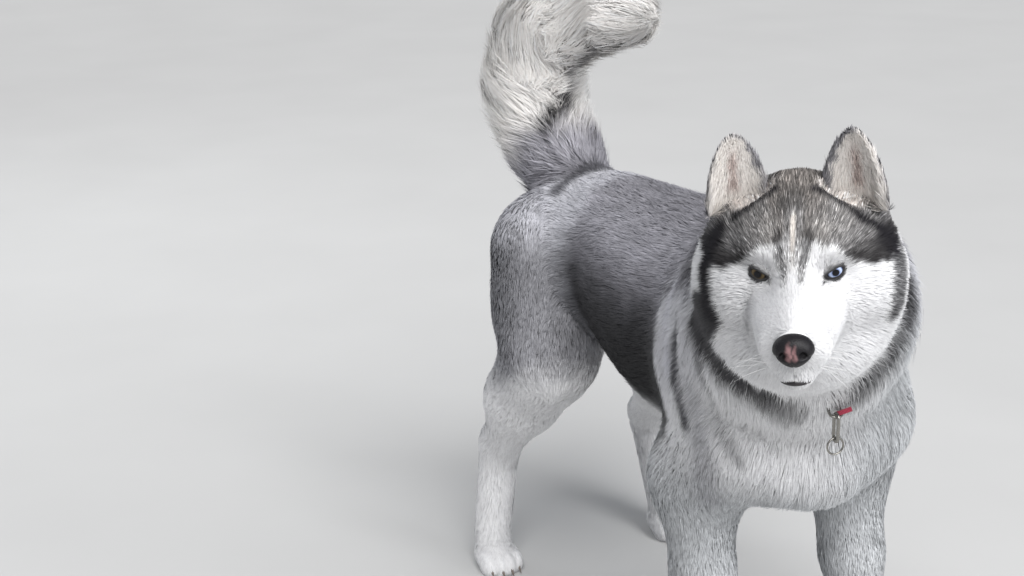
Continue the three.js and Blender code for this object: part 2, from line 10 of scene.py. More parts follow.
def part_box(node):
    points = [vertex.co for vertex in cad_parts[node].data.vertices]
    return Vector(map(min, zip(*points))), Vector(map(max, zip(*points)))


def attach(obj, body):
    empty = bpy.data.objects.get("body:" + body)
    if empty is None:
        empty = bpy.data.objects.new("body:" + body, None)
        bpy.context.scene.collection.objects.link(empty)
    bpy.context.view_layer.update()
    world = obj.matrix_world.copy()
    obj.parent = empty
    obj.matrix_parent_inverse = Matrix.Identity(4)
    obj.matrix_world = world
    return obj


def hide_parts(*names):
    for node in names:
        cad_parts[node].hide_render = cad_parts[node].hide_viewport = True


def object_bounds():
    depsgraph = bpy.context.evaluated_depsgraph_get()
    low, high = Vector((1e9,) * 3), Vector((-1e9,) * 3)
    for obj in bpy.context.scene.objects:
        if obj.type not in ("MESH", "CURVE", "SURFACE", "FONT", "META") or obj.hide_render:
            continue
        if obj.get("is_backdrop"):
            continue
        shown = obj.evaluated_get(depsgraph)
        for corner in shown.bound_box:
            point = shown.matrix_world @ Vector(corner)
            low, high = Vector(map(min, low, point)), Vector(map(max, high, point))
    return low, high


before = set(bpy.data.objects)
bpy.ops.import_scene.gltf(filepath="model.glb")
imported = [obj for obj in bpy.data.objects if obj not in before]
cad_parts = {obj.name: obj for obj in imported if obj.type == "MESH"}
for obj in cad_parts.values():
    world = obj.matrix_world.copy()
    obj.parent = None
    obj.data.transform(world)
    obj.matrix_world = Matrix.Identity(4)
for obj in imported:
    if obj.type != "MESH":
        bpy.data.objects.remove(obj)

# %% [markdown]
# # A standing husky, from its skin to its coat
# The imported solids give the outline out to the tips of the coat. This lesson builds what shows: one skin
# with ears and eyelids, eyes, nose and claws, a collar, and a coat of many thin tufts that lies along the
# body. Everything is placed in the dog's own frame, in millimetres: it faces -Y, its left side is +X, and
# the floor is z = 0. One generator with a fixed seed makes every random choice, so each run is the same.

started = time.time()
cad_box = [list(corner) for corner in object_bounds()]
SEED = 11
random = np.random.default_rng(SEED)
SIDES = {"right": -1, "left": 1}


def report(*words):
    print(*words, "at", round(time.time() - started, 1), "s")


report("the solids' box", cad_box)

# %% [markdown]
# The head has a frame of its own, because it is turned to the dog's right and dips a little. Its origin is
# near the middle between the pupils, and a point in it is given as left, forward and up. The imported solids
# are centred on the floor, so the solid eye tells how far the dog's frame is shifted to Blender's, in metres.

# %% The head's frame, and the way from the dog's frame to Blender
HEAD_PLACE = np.array([-141.7, -433.1, 607.0])
HEAD_YAW, HEAD_PITCH, HEAD_ROLL = -33.7, -7.7, -3.9
EYE_CENTRE = (29.0, -11.0, 0.0)


def turned(yaw=0.0, pitch=0.0, roll=0.0):
    turn = Matrix.Rotation(math.radians(yaw), 3, "Z")
    turn = turn @ Matrix.Rotation(math.radians(-pitch), 3, "X")
    return np.array(turn @ Matrix.Rotation(math.radians(roll), 3, "Y"))


HEAD_TURN = turned(HEAD_YAW, HEAD_PITCH, HEAD_ROLL)


def head_point(left, forward, up):
    return HEAD_PLACE + HEAD_TURN @ np.array([left, -forward, up], float)


def on_side(s, place):
    return head_point(s * place[0], *place[1:])


def head_way(left, forward, up):
    way = HEAD_TURN @ np.array([left, -forward, up], float)
    return way / np.linalg.norm(way)


def in_head(points):
    local = (points - HEAD_PLACE) @ HEAD_TURN
    return np.stack([local[:, 0], -local[:, 1], local[:, 2]], 1)


low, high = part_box("eye_left")
SHIFT = np.array((low + high) / 2) - head_point(*EYE_CENTRE) / 1000


def metres(points):
    return np.asarray(points, float) / 1000 + SHIFT


def millimetres(points):
    return (np.asarray(points, float) - SHIFT) * 1000


report("the dog's frame is shifted by", SHIFT.round(4))

# %% [markdown]
# A dog's outline is soft, so it is built from simple forms that melt into each other: eggs for the chest,
# the rump and the cheeks, and cones with round ends for the neck, the legs and the tail. Each form has the
# radius of the body and the depth of the coat over it, and `fur` says which share of that depth is meant. A
# form says how far a point is from its surface, and a smooth union joins them over a width named `blend`. A
# hollow one digs into the others, as the sockets do round the eyes.


# %% Forms: cones with round ends, and eggs
BALL_STEP = 0.4
FAR_AWAY = 1e6


class RoundCone:
    hollow = False

    def __init__(self, start, end, body, coat, blend):
        self.start, self.end = np.array(start, float), np.array(end, float)
        self.body, self.coat, self.blend = body, coat, blend

    def radii(self, fur):
        return [body + fur * coat for body, coat in zip(self.body, self.coat)]

    def distance(self, points, fur):
        way = self.end - self.start
        along = np.clip((points - self.start) @ way / (way @ way), 0, 1)
        off = points - self.start - along[:, None] * way
        first, last = self.radii(fur)
        return np.sqrt((off * off).sum(1)) - first - (last - first) * along

    def start_shape(self, shape, fur):
        first, last = self.radii(fur)
        length = np.linalg.norm(self.end - self.start)
        for along in np.linspace(0, 1, math.ceil(length / (min(first, last) * BALL_STEP)) + 1):
            place = self.start + (self.end - self.start) * along
            size = (first + (last - first) * along) / 1000
            at = Matrix.Translation(metres(place)) @ Matrix.Scale(size, 4)
            bmesh.ops.create_icosphere(shape, subdivisions=2, radius=1, matrix=at)


class Egg:
    def __init__(self, centre, body, coat, blend, turn=None, hollow=False):
        self.centre, self.body = np.array(centre, float), np.array(body, float)
        self.coat, self.blend, self.hollow = coat, blend, hollow
        self.turn = np.eye(3) if turn is None else turn

    def distance(self, points, fur):
        local = (points - self.centre) @ self.turn
        size = self.body + np.asarray(fur)[..., None] * self.coat
        near = np.sqrt(((local / size) ** 2).sum(1))
        slope = np.sqrt(((local / size ** 2) ** 2).sum(1))
        return near * (near - 1) / np.maximum(slope, 1e-9)

    def start_shape(self, shape, fur):
        size = Matrix.Diagonal((self.body + fur * self.coat) / 1000).to_4x4()
        at = Matrix.Translation(metres(self.centre)) @ Matrix(self.turn.tolist()).to_4x4() @ size
        bmesh.ops.create_icosphere(shape, subdivisions=3, radius=1, matrix=at)


def smooth_union(a, b, blend):
    near = np.maximum(blend - np.abs(a - b), 0) / blend
    return np.minimum(a, b) - near * near * blend / 4


def field(forms, points, fur):
    value = np.full(len(points), FAR_AWAY)
    for form in forms:
        away = form.distance(points, fur)
        if form.hollow:
            value = -smooth_union(-value, away, form.blend)
        else:
            value = smooth_union(value, away, form.blend)
    return value


# %% [markdown]
# The trunk is five eggs from the breast to the croup, with a ridge over the withers. The neck runs up and
# round to the head, and the tail swings up over the back. An egg is given by its middle and half sizes, a
# cone by its two ends and their radii. The solids have the same places and sizes, so skin and solids agree.

# %% Trunk, neck and tail
trunk_forms = [
    Egg((0, -150, 415), (74, 115, 112), 16, 40, turned(0, 8)),
    Egg((0, -20, 426), (84, 140, 108), 15, 40),
    Egg((0, 110, 444), (68, 140, 86), 15, 50),
    Egg((0, 208, 436), (64, 84, 78), 13, 40),
    RoundCone((0, -175, 508), (0, -50, 505), (30, 32), (22, 18), 50),
    Egg((0, -245, 380), (52, 50, 66), 24, 50),
    RoundCone((-5, -190, 450), (-45, -285, 520), (84, 68), (28, 40), 50),
    RoundCone((-45, -285, 520), (-92, -350, 560), (68, 52), (40, 34), 30),
]
TAIL_PATH = np.array([
    (0, 285, 485), (-8, 345, 535), (-24, 372, 602),
    (-25, 350, 668), (8, 290, 708), (36, 235, 712),
], float)
TAIL_CORE = (26, 18, 15, 13, 11, 8)
TAIL_COAT = (20, 36, 44, 44, 40, 30)
tail_forms = [
    RoundCone(TAIL_PATH[i], TAIL_PATH[i + 1], TAIL_CORE[i:i + 2], TAIL_COAT[i:i + 2], 30 if i == 0 else 12)
    for i in range(len(TAIL_PATH) - 1)
]

# %% [markdown]
# A leg is a chain of cones from shoulder or hip to the paw. A husky's paw is oval and compact: four toes in
# front of a pad, the two middle ones longer. The left foreleg is set outwards and forwards, by the two
# numbers in FORELEGS, and the hind legs are given by their hip, knee, hock and paw.

# %% Legs and paws
FORELEGS = {"right": (5, 0), "left": (20, -45)}
HIND_LEGS = {
    "right": ((-60, 246, 440), (-88, 185, 322), (-98, 314, 165), (-113, 310, 0)),
    "left": ((56, 235, 440), (98, 165, 310), (128, 342, 158), (136, 306, 0)),
}
FORE_PAW, HIND_PAW = 1.0, 0.92
TOES = (-1.5, -0.5, 0.5, 1.5)
TOE_SPACING, TOE_HEIGHT = 13.5, 11.5
OUTER_TOE, MIDDLE_TOE = 20, 27


def toe_place(x, y, size, toe):
    reach = (OUTER_TOE if abs(toe) > 1 else MIDDLE_TOE) * size
    return x + toe * TOE_SPACING * size, y - reach


def paw_forms(x, y, size):
    forms = [Egg((x, y, 17), (26 * size, 27 * size, 18), 4, 15)]
    for toe in TOES:
        middle = (*toe_place(x, y, size, toe), TOE_HEIGHT)
        forms.append(Egg(middle, (8.5 * size, 16 * size, 13), 2, 7))
    return forms


leg_forms, paw_places, leg_paths = {}, {}, {}
for side, s in SIDES.items():
    spread, stride = FORELEGS[side]
    point = (s * (58 + spread * 0.4), -236, 372)
    elbow = (s * (67 + spread * 1.3), -152 + stride * 0.4, 302)
    forearm = (s * (68 + spread * 1.15), -166 + stride * 0.6, 200)
    wrist = (s * (69 + spread), -177 + stride, 100)
    pastern = (s * (70 + spread), -190 + stride, 40)
    paw_places[f"foreleg_{side}"] = (s * (70 + spread), -196 + stride, FORE_PAW)
    leg_forms[f"foreleg_{side}"] = [
        Egg((s * 58, -180, 425), (34, 58, 95), 15, 40, turned(0, -20)),
        RoundCone(point, elbow, (37, 35), (15, 13), 40),
        RoundCone(elbow, forearm, (33, 25), (11, 8), 30),
        RoundCone(forearm, wrist, (25, 19), (8, 6), 15),
        RoundCone(wrist, pastern, (19, 18), (6, 5), 15),
        *paw_forms(*paw_places[f"foreleg_{side}"]),
    ]
    leg_paths[f"foreleg_{side}"] = [(s * 58, -180, 425), elbow, forearm, wrist, pastern]
    hip, knee, hock, paw = (np.array(place, float) for place in HIND_LEGS[side])
    calf = (knee + hock) / 2 + (0, 5, 5)
    paw_places[f"hind_leg_{side}"] = (paw[0], paw[1] - 4, HIND_PAW)
    leg_forms[f"hind_leg_{side}"] = [
        Egg((s * 68, 262, 350), (38, 70, 88), 15, 40, turned(0, 25)),
        RoundCone(hip, knee, (56, 38), (14, 11), 40),
        RoundCone(knee, calf, (40, 35), (12, 11), 30),
        RoundCone(calf, hock, (35, 18), (11, 6), 20),
        RoundCone(hock + (0, 6, 4), (paw[0], paw[1] + 5, 45), (20, 19), (6, 5), 15),
        *paw_forms(*paw_places[f"hind_leg_{side}"]),
    ]
    leg_paths[f"hind_leg_{side}"] = [hip, knee, hock, (paw[0], paw[1] + 5, 45)]

# %% [markdown]
# The head gets the most forms: skull, forehead, brows, cheek bones, ruff, muzzle, lips, chin and throat.
# Four hollow eggs dig into them: the eye sockets, and a pit in front of each ear, so that the ear opens down
# to the edge of the skull as a real one does.

# %% Head
SOCKET, SOCKET_SIZE = np.array([34, 13, -1]), (15, 17, 10)
EAR_PIT, EAR_PIT_SIZE = np.array([44, -62, 54]), np.array([26, 16, 20])
HOLLOW_COAT = -2


def head_egg(place, size, coat, blend, hollow=False):
    return Egg(head_point(*place), size, coat, blend, HEAD_TURN, hollow)


def head_cone(start, end, body, coat, blend):
    return RoundCone(head_point(*start), head_point(*end), body, coat, blend)


head_forms = [
    head_egg((0, -67, 4), (55, 55, 50), 9, 20),
    head_egg((0, -35, 15), (31, 24, 18), 6, 22),
    head_egg((0, -70, -36), (50, 40, 46), 20, 30),
]
for s in SIDES.values():
    head_forms.append(head_egg((s * 24, -15, 12), (15, 11, 8), 4, 14))
    head_forms.append(head_egg((s * 42, -44, -26), (24, 36, 28), 9, 22))
    head_forms.append(head_egg((s * 47, -72, -34), (22, 30, 42), 20, 30))
    head_forms.append(head_egg((s * 56, -84, 30), (14, 12, 22), 4, 14))
head_forms.append(head_cone((0, -10, -16), (0, 80, -21), (20, 11), (5, 3), 18))
for s in SIDES.values():
    head_forms.append(head_cone((s * 15, -5, -35), (s * 12, 66, -33), (21, 15.5), (5, 3), 12))
head_forms.append(head_cone((0, -15, -64), (0, 69, -55), (26, 12), (8, 4), 15))
head_forms.append(head_egg((0, -50, -76), (40, 40, 30), 22, 30))
for s in SIDES.values():
    head_forms.append(head_egg(SOCKET * (s, 1, 1), SOCKET_SIZE, HOLLOW_COAT, 10, hollow=True))
    head_forms.append(head_egg(EAR_PIT * (s, 1, 1), EAR_PIT_SIZE, HOLLOW_COAT, 8, hollow=True))
every_form = trunk_forms + sum(leg_forms.values(), []) + tail_forms + head_forms
print(len(every_form), "forms")

# %% [markdown]
# ## The skin
# A sculptor would block the dog out in clay and then smooth the joints. Here each form drops a ball or a row
# of balls into one mesh, a voxel remesh melts them into a single closed surface, and every vertex then slides
# along the slope of the smooth union until it lies on it. Most of the coat's depth is left for the tufts:
# the skin carries only the woolly undercoat, a fixed share of the coat.

# %% Block the body out and melt it together
UNDERCOAT = 0.4
VOXEL = 0.0057


def object_from(shape, name):
    mesh = bpy.data.meshes.new(name)
    shape.to_mesh(mesh)
    shape.free()
    piece = bpy.data.objects.new(name, mesh)
    bpy.context.scene.collection.objects.link(piece)
    return piece


def add_to(whole, part):
    lump = bpy.data.meshes.new("lump")
    part.to_mesh(lump)
    part.free()
    whole.from_mesh(lump)
    bpy.data.meshes.remove(lump)


clay = bmesh.new()
for form in every_form:
    if not form.hollow:
        ball = bmesh.new()
        form.start_shape(ball, UNDERCOAT)
        add_to(clay, ball)
skin = object_from(clay, "skin")
melt = skin.modifiers.new("melt", "REMESH")
melt.mode = "VOXEL"
melt.voxel_size = VOXEL
ready = skin.evaluated_get(bpy.context.evaluated_depsgraph_get())
melted = bpy.data.meshes.new_from_object(ready)
skin.modifiers.clear()
skin.data = melted
report("clay", len(skin.data.vertices), "vertices")

# %% [markdown]
# To lie on the smooth union, a point looks how deep it is and which way the depth grows, and steps back by
# that much. The same step later lays the tufts, each at its own share of the coat's depth.

# %% The way down the slope
SLOPE_STEP = 0.25
LEAST_SLOPE = 0.3


def depth_and_slope(forms, points, fur):
    here = field(forms, points, fur)
    ahead = [field(forms, points + step, fur) - here for step in np.eye(3) * SLOPE_STEP]
    return here, np.stack(ahead, 1) / SLOPE_STEP


def onto_surface(forms, points, fur, rounds=2, reach=6.0):
    points = points.copy()
    for _ in range(rounds):
        away, way = depth_and_slope(forms, points, fur)
        size = np.maximum((way * way).sum(1), LEAST_SLOPE)
        points -= way * np.clip(away / size, -reach, reach)[:, None]
    return points


# %% [markdown]
# The remesh leaves steps. A few rounds of smoothing and sliding give an even skin, and then the head and
# the paws are cut finer, twice on the face, because that is where small shapes matter.

# %% Even the skin out and refine it
HEAD_REACH = 12.0
FACE_BACK = -62.0
PAW_HEIGHT = 75.0


def on_head_or_paw(points):
    return (field(head_forms, points, UNDERCOAT) < HEAD_REACH) | (points[:, 2] < PAW_HEIGHT)


def on_face(points):
    near = field(head_forms, points, UNDERCOAT) < HEAD_REACH
    return near & (in_head(points)[:, 1] > FACE_BACK)


def everywhere(points):
    return np.ones(len(points), bool)


def relax(shape, wanted):
    shape.verts.ensure_lookup_table()
    points = millimetres([v.co for v in shape.verts])
    verts = [shape.verts[i] for i in np.flatnonzero(wanted(points))]
    bmesh.ops.smooth_vert(shape, verts=verts, factor=0.5, use_axis_x=True, use_axis_y=True, use_axis_z=True)
    points = millimetres([v.co for v in verts])
    for v, co in zip(verts, metres(onto_surface(every_form, points, UNDERCOAT))):
        v.co = co


def finer(shape, wanted):
    points = millimetres([f.calc_center_median() for f in shape.faces])
    faces = [f for f, take in zip(shape.faces, wanted(points)) if take]
    edges = {e for f in faces for e in f.edges}
    bmesh.ops.subdivide_edges(shape, edges=list(edges), cuts=1, use_grid_fill=True)
    report("cut finer:", len(faces), "faces")


sculpt = bmesh.new()
sculpt.from_mesh(skin.data)
relax(sculpt, everywhere)
relax(sculpt, everywhere)
for wanted in (on_head_or_paw, on_face):
    finer(sculpt, wanted)
    relax(sculpt, wanted)
report("skin", len(sculpt.verts), "vertices")

# %% [markdown]
# ## Ears
# Each ear is a cupped leaf, open to the front. A flat grid is bent along the ear's own axis: its width
# closes towards the tip, its middle is pushed back, and solidify gives it the thickness of the gristle. It
# thickens to one side only, so the leaf is slid back to where its middle was.

# %% Ear leaves
EAR_BASE = {"right": (50, -64, 30), "left": (48, -64, 30)}
EAR_TIP = {"right": (50, -59, 100), "left": (46, -59, 102)}
EAR_WAY = (53, 18, -13)
EAR_HALF_WIDTH, EAR_ROUND, EAR_THICKNESS, EAR_INSET = 29.0, 0.70, 3.0, 1.6
EAR_CUP, EAR_TIP_FLATNESS = 13.0, 0.55
EAR_ROWS, EAR_COLUMNS = 36, 24


def ear_frame(side):
    s = SIDES[side]
    base, tip = on_side(s, EAR_BASE[side]), on_side(s, EAR_TIP[side])
    along = (tip - base) / np.linalg.norm(tip - base)
    across = head_way(s * EAR_WAY[0], *EAR_WAY[1:])
    across -= along * (across @ along)
    across /= np.linalg.norm(across)
    front = np.cross(along, across)
    front *= np.sign(front @ head_way(0, 1, 0))
    return base, along, across, front, np.linalg.norm(tip - base)


def ear_cup(t, x):
    return EAR_CUP * (1 - EAR_TIP_FLATNESS * t) * (1 - (x / EAR_HALF_WIDTH) ** 2)


def middle_of(shape):
    return sum((v.co for v in shape.verts), Vector()) / len(shape.verts)


def ear_leaf(side):
    base, along, across, front, length = ear_frame(side)
    leaf = bmesh.new()
    bmesh.ops.create_grid(leaf, x_segments=EAR_COLUMNS, y_segments=EAR_ROWS, size=1)
    for v in leaf.verts:
        t = (v.co.y + 1) / 2
        half = EAR_HALF_WIDTH * (1 - t * t) ** EAR_ROUND - EAR_INSET * (1 - t)
        x = v.co.x * max(half, 0)
        v.co = metres(base + along * (t * (length - EAR_INSET)) + across * x - front * ear_cup(t, x))
    bmesh.ops.remove_doubles(leaf, verts=leaf.verts, dist=0.0001)
    middle = middle_of(leaf)
    bmesh.ops.solidify(leaf, geom=leaf.faces, thickness=EAR_THICKNESS / 1000)
    ahead = Vector(front)
    bmesh.ops.translate(leaf, verts=leaf.verts, vec=-ahead * (middle_of(leaf) - middle).dot(ahead))
    bmesh.ops.recalc_face_normals(leaf, faces=leaf.faces)
    report("ear", side, len(leaf.verts), "vertices")
    return leaf


# %% [markdown]
# ## Eyelids
# The lids are what makes a husky look at you: almond shaped, with the inner corner lower, and lined in
# black. Each is a ring that is extruded outwards step by step, first over the eyeball and then on to the
# skin round the socket, so that the ball sits behind a real rim. A row of LID_RINGS gives one ring's half
# width, its height above and below, its distance from the ball's middle, and how far it melts into the skin.

# %% Eyelids
EYE_RADIUS = 11.5
GAZE = (3.0, 11.0, 0.0)
LID_TILT = 23.0
LID_RINGS = (
    (9.2, 2.5, 3.3, 11.6, 0),
    (9.9, 3.0, 3.8, 12.5, 0),
    (11.3, 3.6, 4.5, 13.0, 0),
    (13.2, 4.8, 5.7, 13.1, 0.15),
    (17, 8.2, 8.4, 13.2, 0.6),
    (20.5, 12, 11.5, 13.8, 0.9),
    (24, 15.5, 14.5, 14.2, 1.0),
)
LID_STEPS = 56
LID_SINK, LID_BROW, LID_POINTED = 0.8, 0.2, 1.15


def eye_frame(side):
    s = SIDES[side]
    axis = head_way(s * GAZE[0], *GAZE[1:])
    up = head_way(0, 0, 1)
    outward = np.cross(up, axis) * s
    outward /= np.linalg.norm(outward)
    up = np.cross(axis, outward) * s
    tilt = math.radians(LID_TILT)
    wide = outward * math.cos(tilt) + up * math.sin(tilt)
    tall = up * math.cos(tilt) - outward * math.sin(tilt)
    return on_side(s, EYE_CENTRE), axis, wide, tall


def lid_ring(side, half_width, top, bottom, radius, melt):
    centre, axis, wide, tall = eye_frame(side)
    ring = []
    for step in range(LID_STEPS):
        turn = 2 * math.pi * step / LID_STEPS
        x, y = math.cos(turn), math.sin(turn)
        height = (top if y > 0 else bottom) * abs(y) ** LID_POINTED * math.copysign(1, y)
        brow = LID_BROW * top * (x if y > 0 else 0) * y * y
        way = axis * EYE_RADIUS + wide * x * half_width + tall * (height + brow)
        ring.append(centre + way / np.linalg.norm(way) * radius)
    ring = np.array(ring)
    if melt:
        flush = onto_surface(every_form, ring, UNDERCOAT, rounds=6)
        _, out = depth_and_slope(every_form, flush, UNDERCOAT)
        ring = ring * (1 - melt) + (flush - out * LID_SINK * melt ** 4) * melt
    return ring


def nearest(place, verts):
    return min(range(len(verts)), key=lambda i: (place - verts[i].co).length)


def eyelid(side):
    lid = bmesh.new()
    bmesh.ops.create_circle(lid, segments=LID_STEPS, radius=1)
    lid.verts.ensure_lookup_table()
    verts = list(lid.verts)
    edges = list(lid.edges)
    for number, sizes in enumerate(LID_RINGS):
        if number:
            grown = bmesh.ops.extrude_edge_only(lid, edges=edges)["geom"]
            edges = [e for e in grown if isinstance(e, bmesh.types.BMEdge) and e.is_boundary]
            fresh = [v for v in grown if isinstance(v, bmesh.types.BMVert)]
            verts = sorted(fresh, key=lambda v: nearest(v.co, verts))
        for v, place in zip(verts, metres(lid_ring(side, *sizes))):
            v.co = place
    bmesh.ops.recalc_face_normals(lid, faces=lid.faces)
    axis = Vector(eye_frame(side)[1])
    if sum(f.normal.dot(axis) for f in lid.faces) < 0:
        bmesh.ops.reverse_faces(lid, faces=lid.faces)
    return lid


# %% [markdown]
# Ears and lids join the skin's mesh. A note of where each one's points start and end is kept, because their
# colours and tufts are made in another way than the body's.

# %% One skin
own_parts = {"body": (0, len(sculpt.verts))}
for side in SIDES:
    for name, part in ((f"ear_{side}", ear_leaf(side)), (f"lid_{side}", eyelid(side))):
        first = len(sculpt.verts)
        add_to(sculpt, part)
        own_parts[name] = (first, len(sculpt.verts))
sculpt.to_mesh(skin.data)
sculpt.free()
skin.data.shade_smooth()
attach(skin, "root")
report("skin with ears and lids", len(skin.data.polygons), "faces")

# %% [markdown]
# The skin is laid out flat once, by its own shape. The coat later takes each tuft's place in that layout
# from its root, so that skin and coat can be baked to pictures that agree.

# %% Unwrap the skin
SHEET_ANGLE, SHEET_GAP = 66, 0.001
bpy.context.view_layer.objects.active = skin
skin.select_set(True)
bpy.ops.object.mode_set(mode="EDIT")
bpy.ops.mesh.select_all(action="SELECT")
bpy.ops.uv.smart_project(angle_limit=math.radians(SHEET_ANGLE), island_margin=SHEET_GAP)
bpy.ops.object.mode_set(mode="OBJECT")
skin.data.uv_layers[0].name = "OFBake"
report("unwrapped")

# %% [markdown]
# ## Markings
# A husky's mask is drawn with a few soft strokes. Each stroke is a short line of points in the head's frame
# or in the dog's, with a radius, and a soft edge that a smooth noise makes ragged. Skin and coat both read
# the same function, so they always match. The noise mixes the bits of a cell's number into a value from -1
# to 1 and runs smoothly from corner to corner, so it is the same in every run.

# %% Noise
CELL_KEYS = (73856093, 19349663, 83492791)
MIXER, WORD, TONES = 1274126177, 0xFFFFFFFF, 65536
SEED_SHIFT = 17.31


def lattice(cells):
    mixed = cells[:, 0] * CELL_KEYS[0] ^ cells[:, 1] * CELL_KEYS[1] ^ cells[:, 2] * CELL_KEYS[2]
    mixed = (mixed ^ (mixed >> 13)) * MIXER & WORD
    return (mixed ^ (mixed >> 16)) % TONES / ((TONES - 1) / 2) - 1


def noise(points, size, seed):
    spots = points / size + seed * SEED_SHIFT
    cells = np.floor(spots).astype(np.int64)
    part = spots - cells
    part = part * part * (3 - 2 * part)
    value = np.zeros(len(points))
    for corner in np.ndindex(2, 2, 2):
        share = np.prod(np.where(corner, part, 1 - part), 1)
        value += share * lattice(cells + corner)
    return value


# %% [markdown]
# A band rises smoothly from 0 to 1 between two values, or falls if the second is the smaller. A stroke is 1
# near a line of points and a spot is 1 inside an egg, both with a soft edge. `mix` lays one colour over
# another by such a share, and `shaken` moves the points by the noise that makes an edge ragged.

# %% Bands, strokes and spots
def band(value, start, end):
    part = np.clip((value - start) / (end - start), 0, 1)
    return part * part * (3 - 2 * part)


def line_parts(points, line):
    line = np.array(line, float)
    for start, end in zip(line[:-1], line[1:]):
        way = end - start
        along = np.clip((points - start) @ way / (way @ way), 0, 1)
        off = points - start - along[:, None] * way
        yield np.sqrt((off * off).sum(1)), way


def line_gap(points, line):
    return np.min([gap for gap, _ in line_parts(points, line)], axis=0)


def stroke(points, line, radius, soft):
    return 1 - band(line_gap(points, line), radius - soft, radius + soft)


def spot(points, centre, size, soft):
    near = np.sqrt((((points - centre) / size) ** 2).sum(1))
    return 1 - band(near, 1 - soft, 1 + soft)


def mirrored(line):
    return [(-x, *rest) for x, *rest in line]


def shaken(points, ragged, share=1.0):
    return points + ragged[:, None] * share


def mix(first, second, share):
    return first + (second - first) * np.asarray(share)[:, None]


# %% [markdown]
# The colours are albedo, in Blender's linear values, and a few of them hold painted shade, as noted where
# they are used. The white is not pure, and the greys are a little cool.

# %% Palette
WHITE = np.array([0.88, 0.88, 0.89])
CREAM = np.array([0.78, 0.73, 0.68])
TAIL_CREAM = np.array([0.94, 0.915, 0.89])
# A greyer white: painted shade, for the forelegs and the far side of the breast and neck.
SHADED_WHITE = np.array([0.53, 0.545, 0.56])
PALE_GREY = np.array([0.50, 0.50, 0.535])
MID_GREY = np.array([0.25, 0.245, 0.27])
DARK_GREY = np.array([0.060, 0.060, 0.070])
BLACK = np.array([0.016, 0.015, 0.018])
FAWN = np.array([0.19, 0.168, 0.153])
CAP_GREY = np.array([0.19, 0.185, 0.185])
CAP_PALE = np.array([0.46, 0.44, 0.42])
CAP_DARK = np.array([0.028, 0.026, 0.027])
EAR_CREAM = np.array([0.88, 0.84, 0.80])
# The ear's pink, darkened with painted shade of the ear's hollow.
EAR_PINK_AND_SHADE = np.array([0.34, 0.22, 0.19])
RIM_BLACK = np.array([0.012, 0.011, 0.012])

# %% [markdown]
# The cap: fawn in the middle and grey at the sides, with a dark edge low down, a shade on the crown and a
# pale spot over each brow. CAP_LINE gives the height of its lower edge over the distance from the middle.

# %% The cap of the head
CAP_LINE = (
    (0, 9, 14, 22, 31, 38, 42, 49, 63, 70, 78, 90),
    (30, 30, 27, 26, 23, 17, 13, 6, 0, -3, -3, 4),
)
CROWN_SHADE, CROWN_SIZE = np.array([-2, -30, 51]), (13, 20, 11)
BROW_PALE, BROW_PALE_SIZE = np.array([20, -13, 36]), (9, 16, 8)
CAP_SOFT = 0.6


def cap_colours(local, ragged, fleck):
    side, up = np.abs(local[:, 0]), local[:, 2]
    colour = mix(FAWN, CAP_GREY, band(side + ragged, 10, 32))
    colour = mix(colour, CAP_PALE, 0.45 * fleck * band(up, 20, 34) * (1 - band(side, 40, 60)))
    colour = mix(colour, CAP_GREY * 0.6, 0.65 * (1 - band(side, 16, 36)) * (1 - band(up, 42, 56)))
    dark = band(up - 48 + ragged * 1.5 + noise(local * (1.6, 1, 1), 11, 4) * 6, -9, 12) * 0.36
    dark = np.maximum(dark, band(side + ragged, 28, 46) * (1 - band(up + ragged, 6, 24)))
    colour = mix(colour, CAP_DARK, np.clip(dark * (0.75 + 0.35 * fleck), 0, 1))
    crown = spot(shaken(local, ragged), CROWN_SHADE, CROWN_SIZE, CAP_SOFT)
    colour = mix(colour, CAP_GREY * 0.5, 0.75 * crown)
    for s in SIDES.values():
        pale = spot(shaken(local, ragged), BROW_PALE * (s, 1, 1), BROW_PALE_SIZE, CAP_SOFT)
        colour = mix(colour, CAP_PALE, 0.5 * pale * (0.4 + 0.6 * fleck))
    return colour


# %% [markdown]
# The mask: white spots over the eyes, a cream stripe between two dark lines, black tear lines, and a black
# edge round each cheek and below each ear. Its two sides differ, so each has its own lines. The cheek's edge
# is drawn with the depth of the head pressed together, since it lies on a strongly curved side. A width is a
# radius and the softness of its edge.

# %% The mask of the face
FACE_PLANE = np.array([1, 0.45, 1])
BROW_SPOT, BROW_SIZE = np.array([23, 0, 11]), np.array([11.0, 22, 12.5])
PEPPER_SPOT, PEPPER_SIZE = (0, 80, -52), (17, 16, 10)
STRIPE = ((-1.5, -18, 46), (-2.2, -5, 33), (-2.8, 4, 21), (-3, 15, 5), (-3, 35, 0))
BESIDE_STRIPE_WIDTH = (8.5, 3)
NOSE_LINES = {
    "right": ((-14, -8, 36), (-15, -4, 29), (-14.5, 2, 17), (-12, 9, 7), (-11, 21, 1)),
    "left": ((12, -7, 36), (11, -4, 29), (7.5, 3, 17), (5, 11, 7), (5, 23, 3)),
}
NOSE_LINE_WIDTH = (3.6, 2.4)
CHEEK_EDGES = {
    "right": (
        (-66, -48, 22), (-78, -45, 9), (-81, -33, -7), (-82, -29, -20), (-82, -26, -35), (-80, -26, -50),
    ),
    "left": (
        (70, -52, 14), (79, -50, 10), (87, -51, -8), (87, -42, -26), (85, -39, -45), (82, -36, -55),
    ),
}
CHEEK_WIDTH = {"right": (7.5, 3.5), "left": (9.5, 3.5)}
CHEEK_GRIZZLE = {"right": 0.0, "left": 0.3}
TEARS = {"right": ((-27, 0, -5), (-23.5, 5, -6.5)), "left": ((26, 0, -6), (22, 6, -6.5))}
TEAR_WIDTH = (1.3, 1.0)
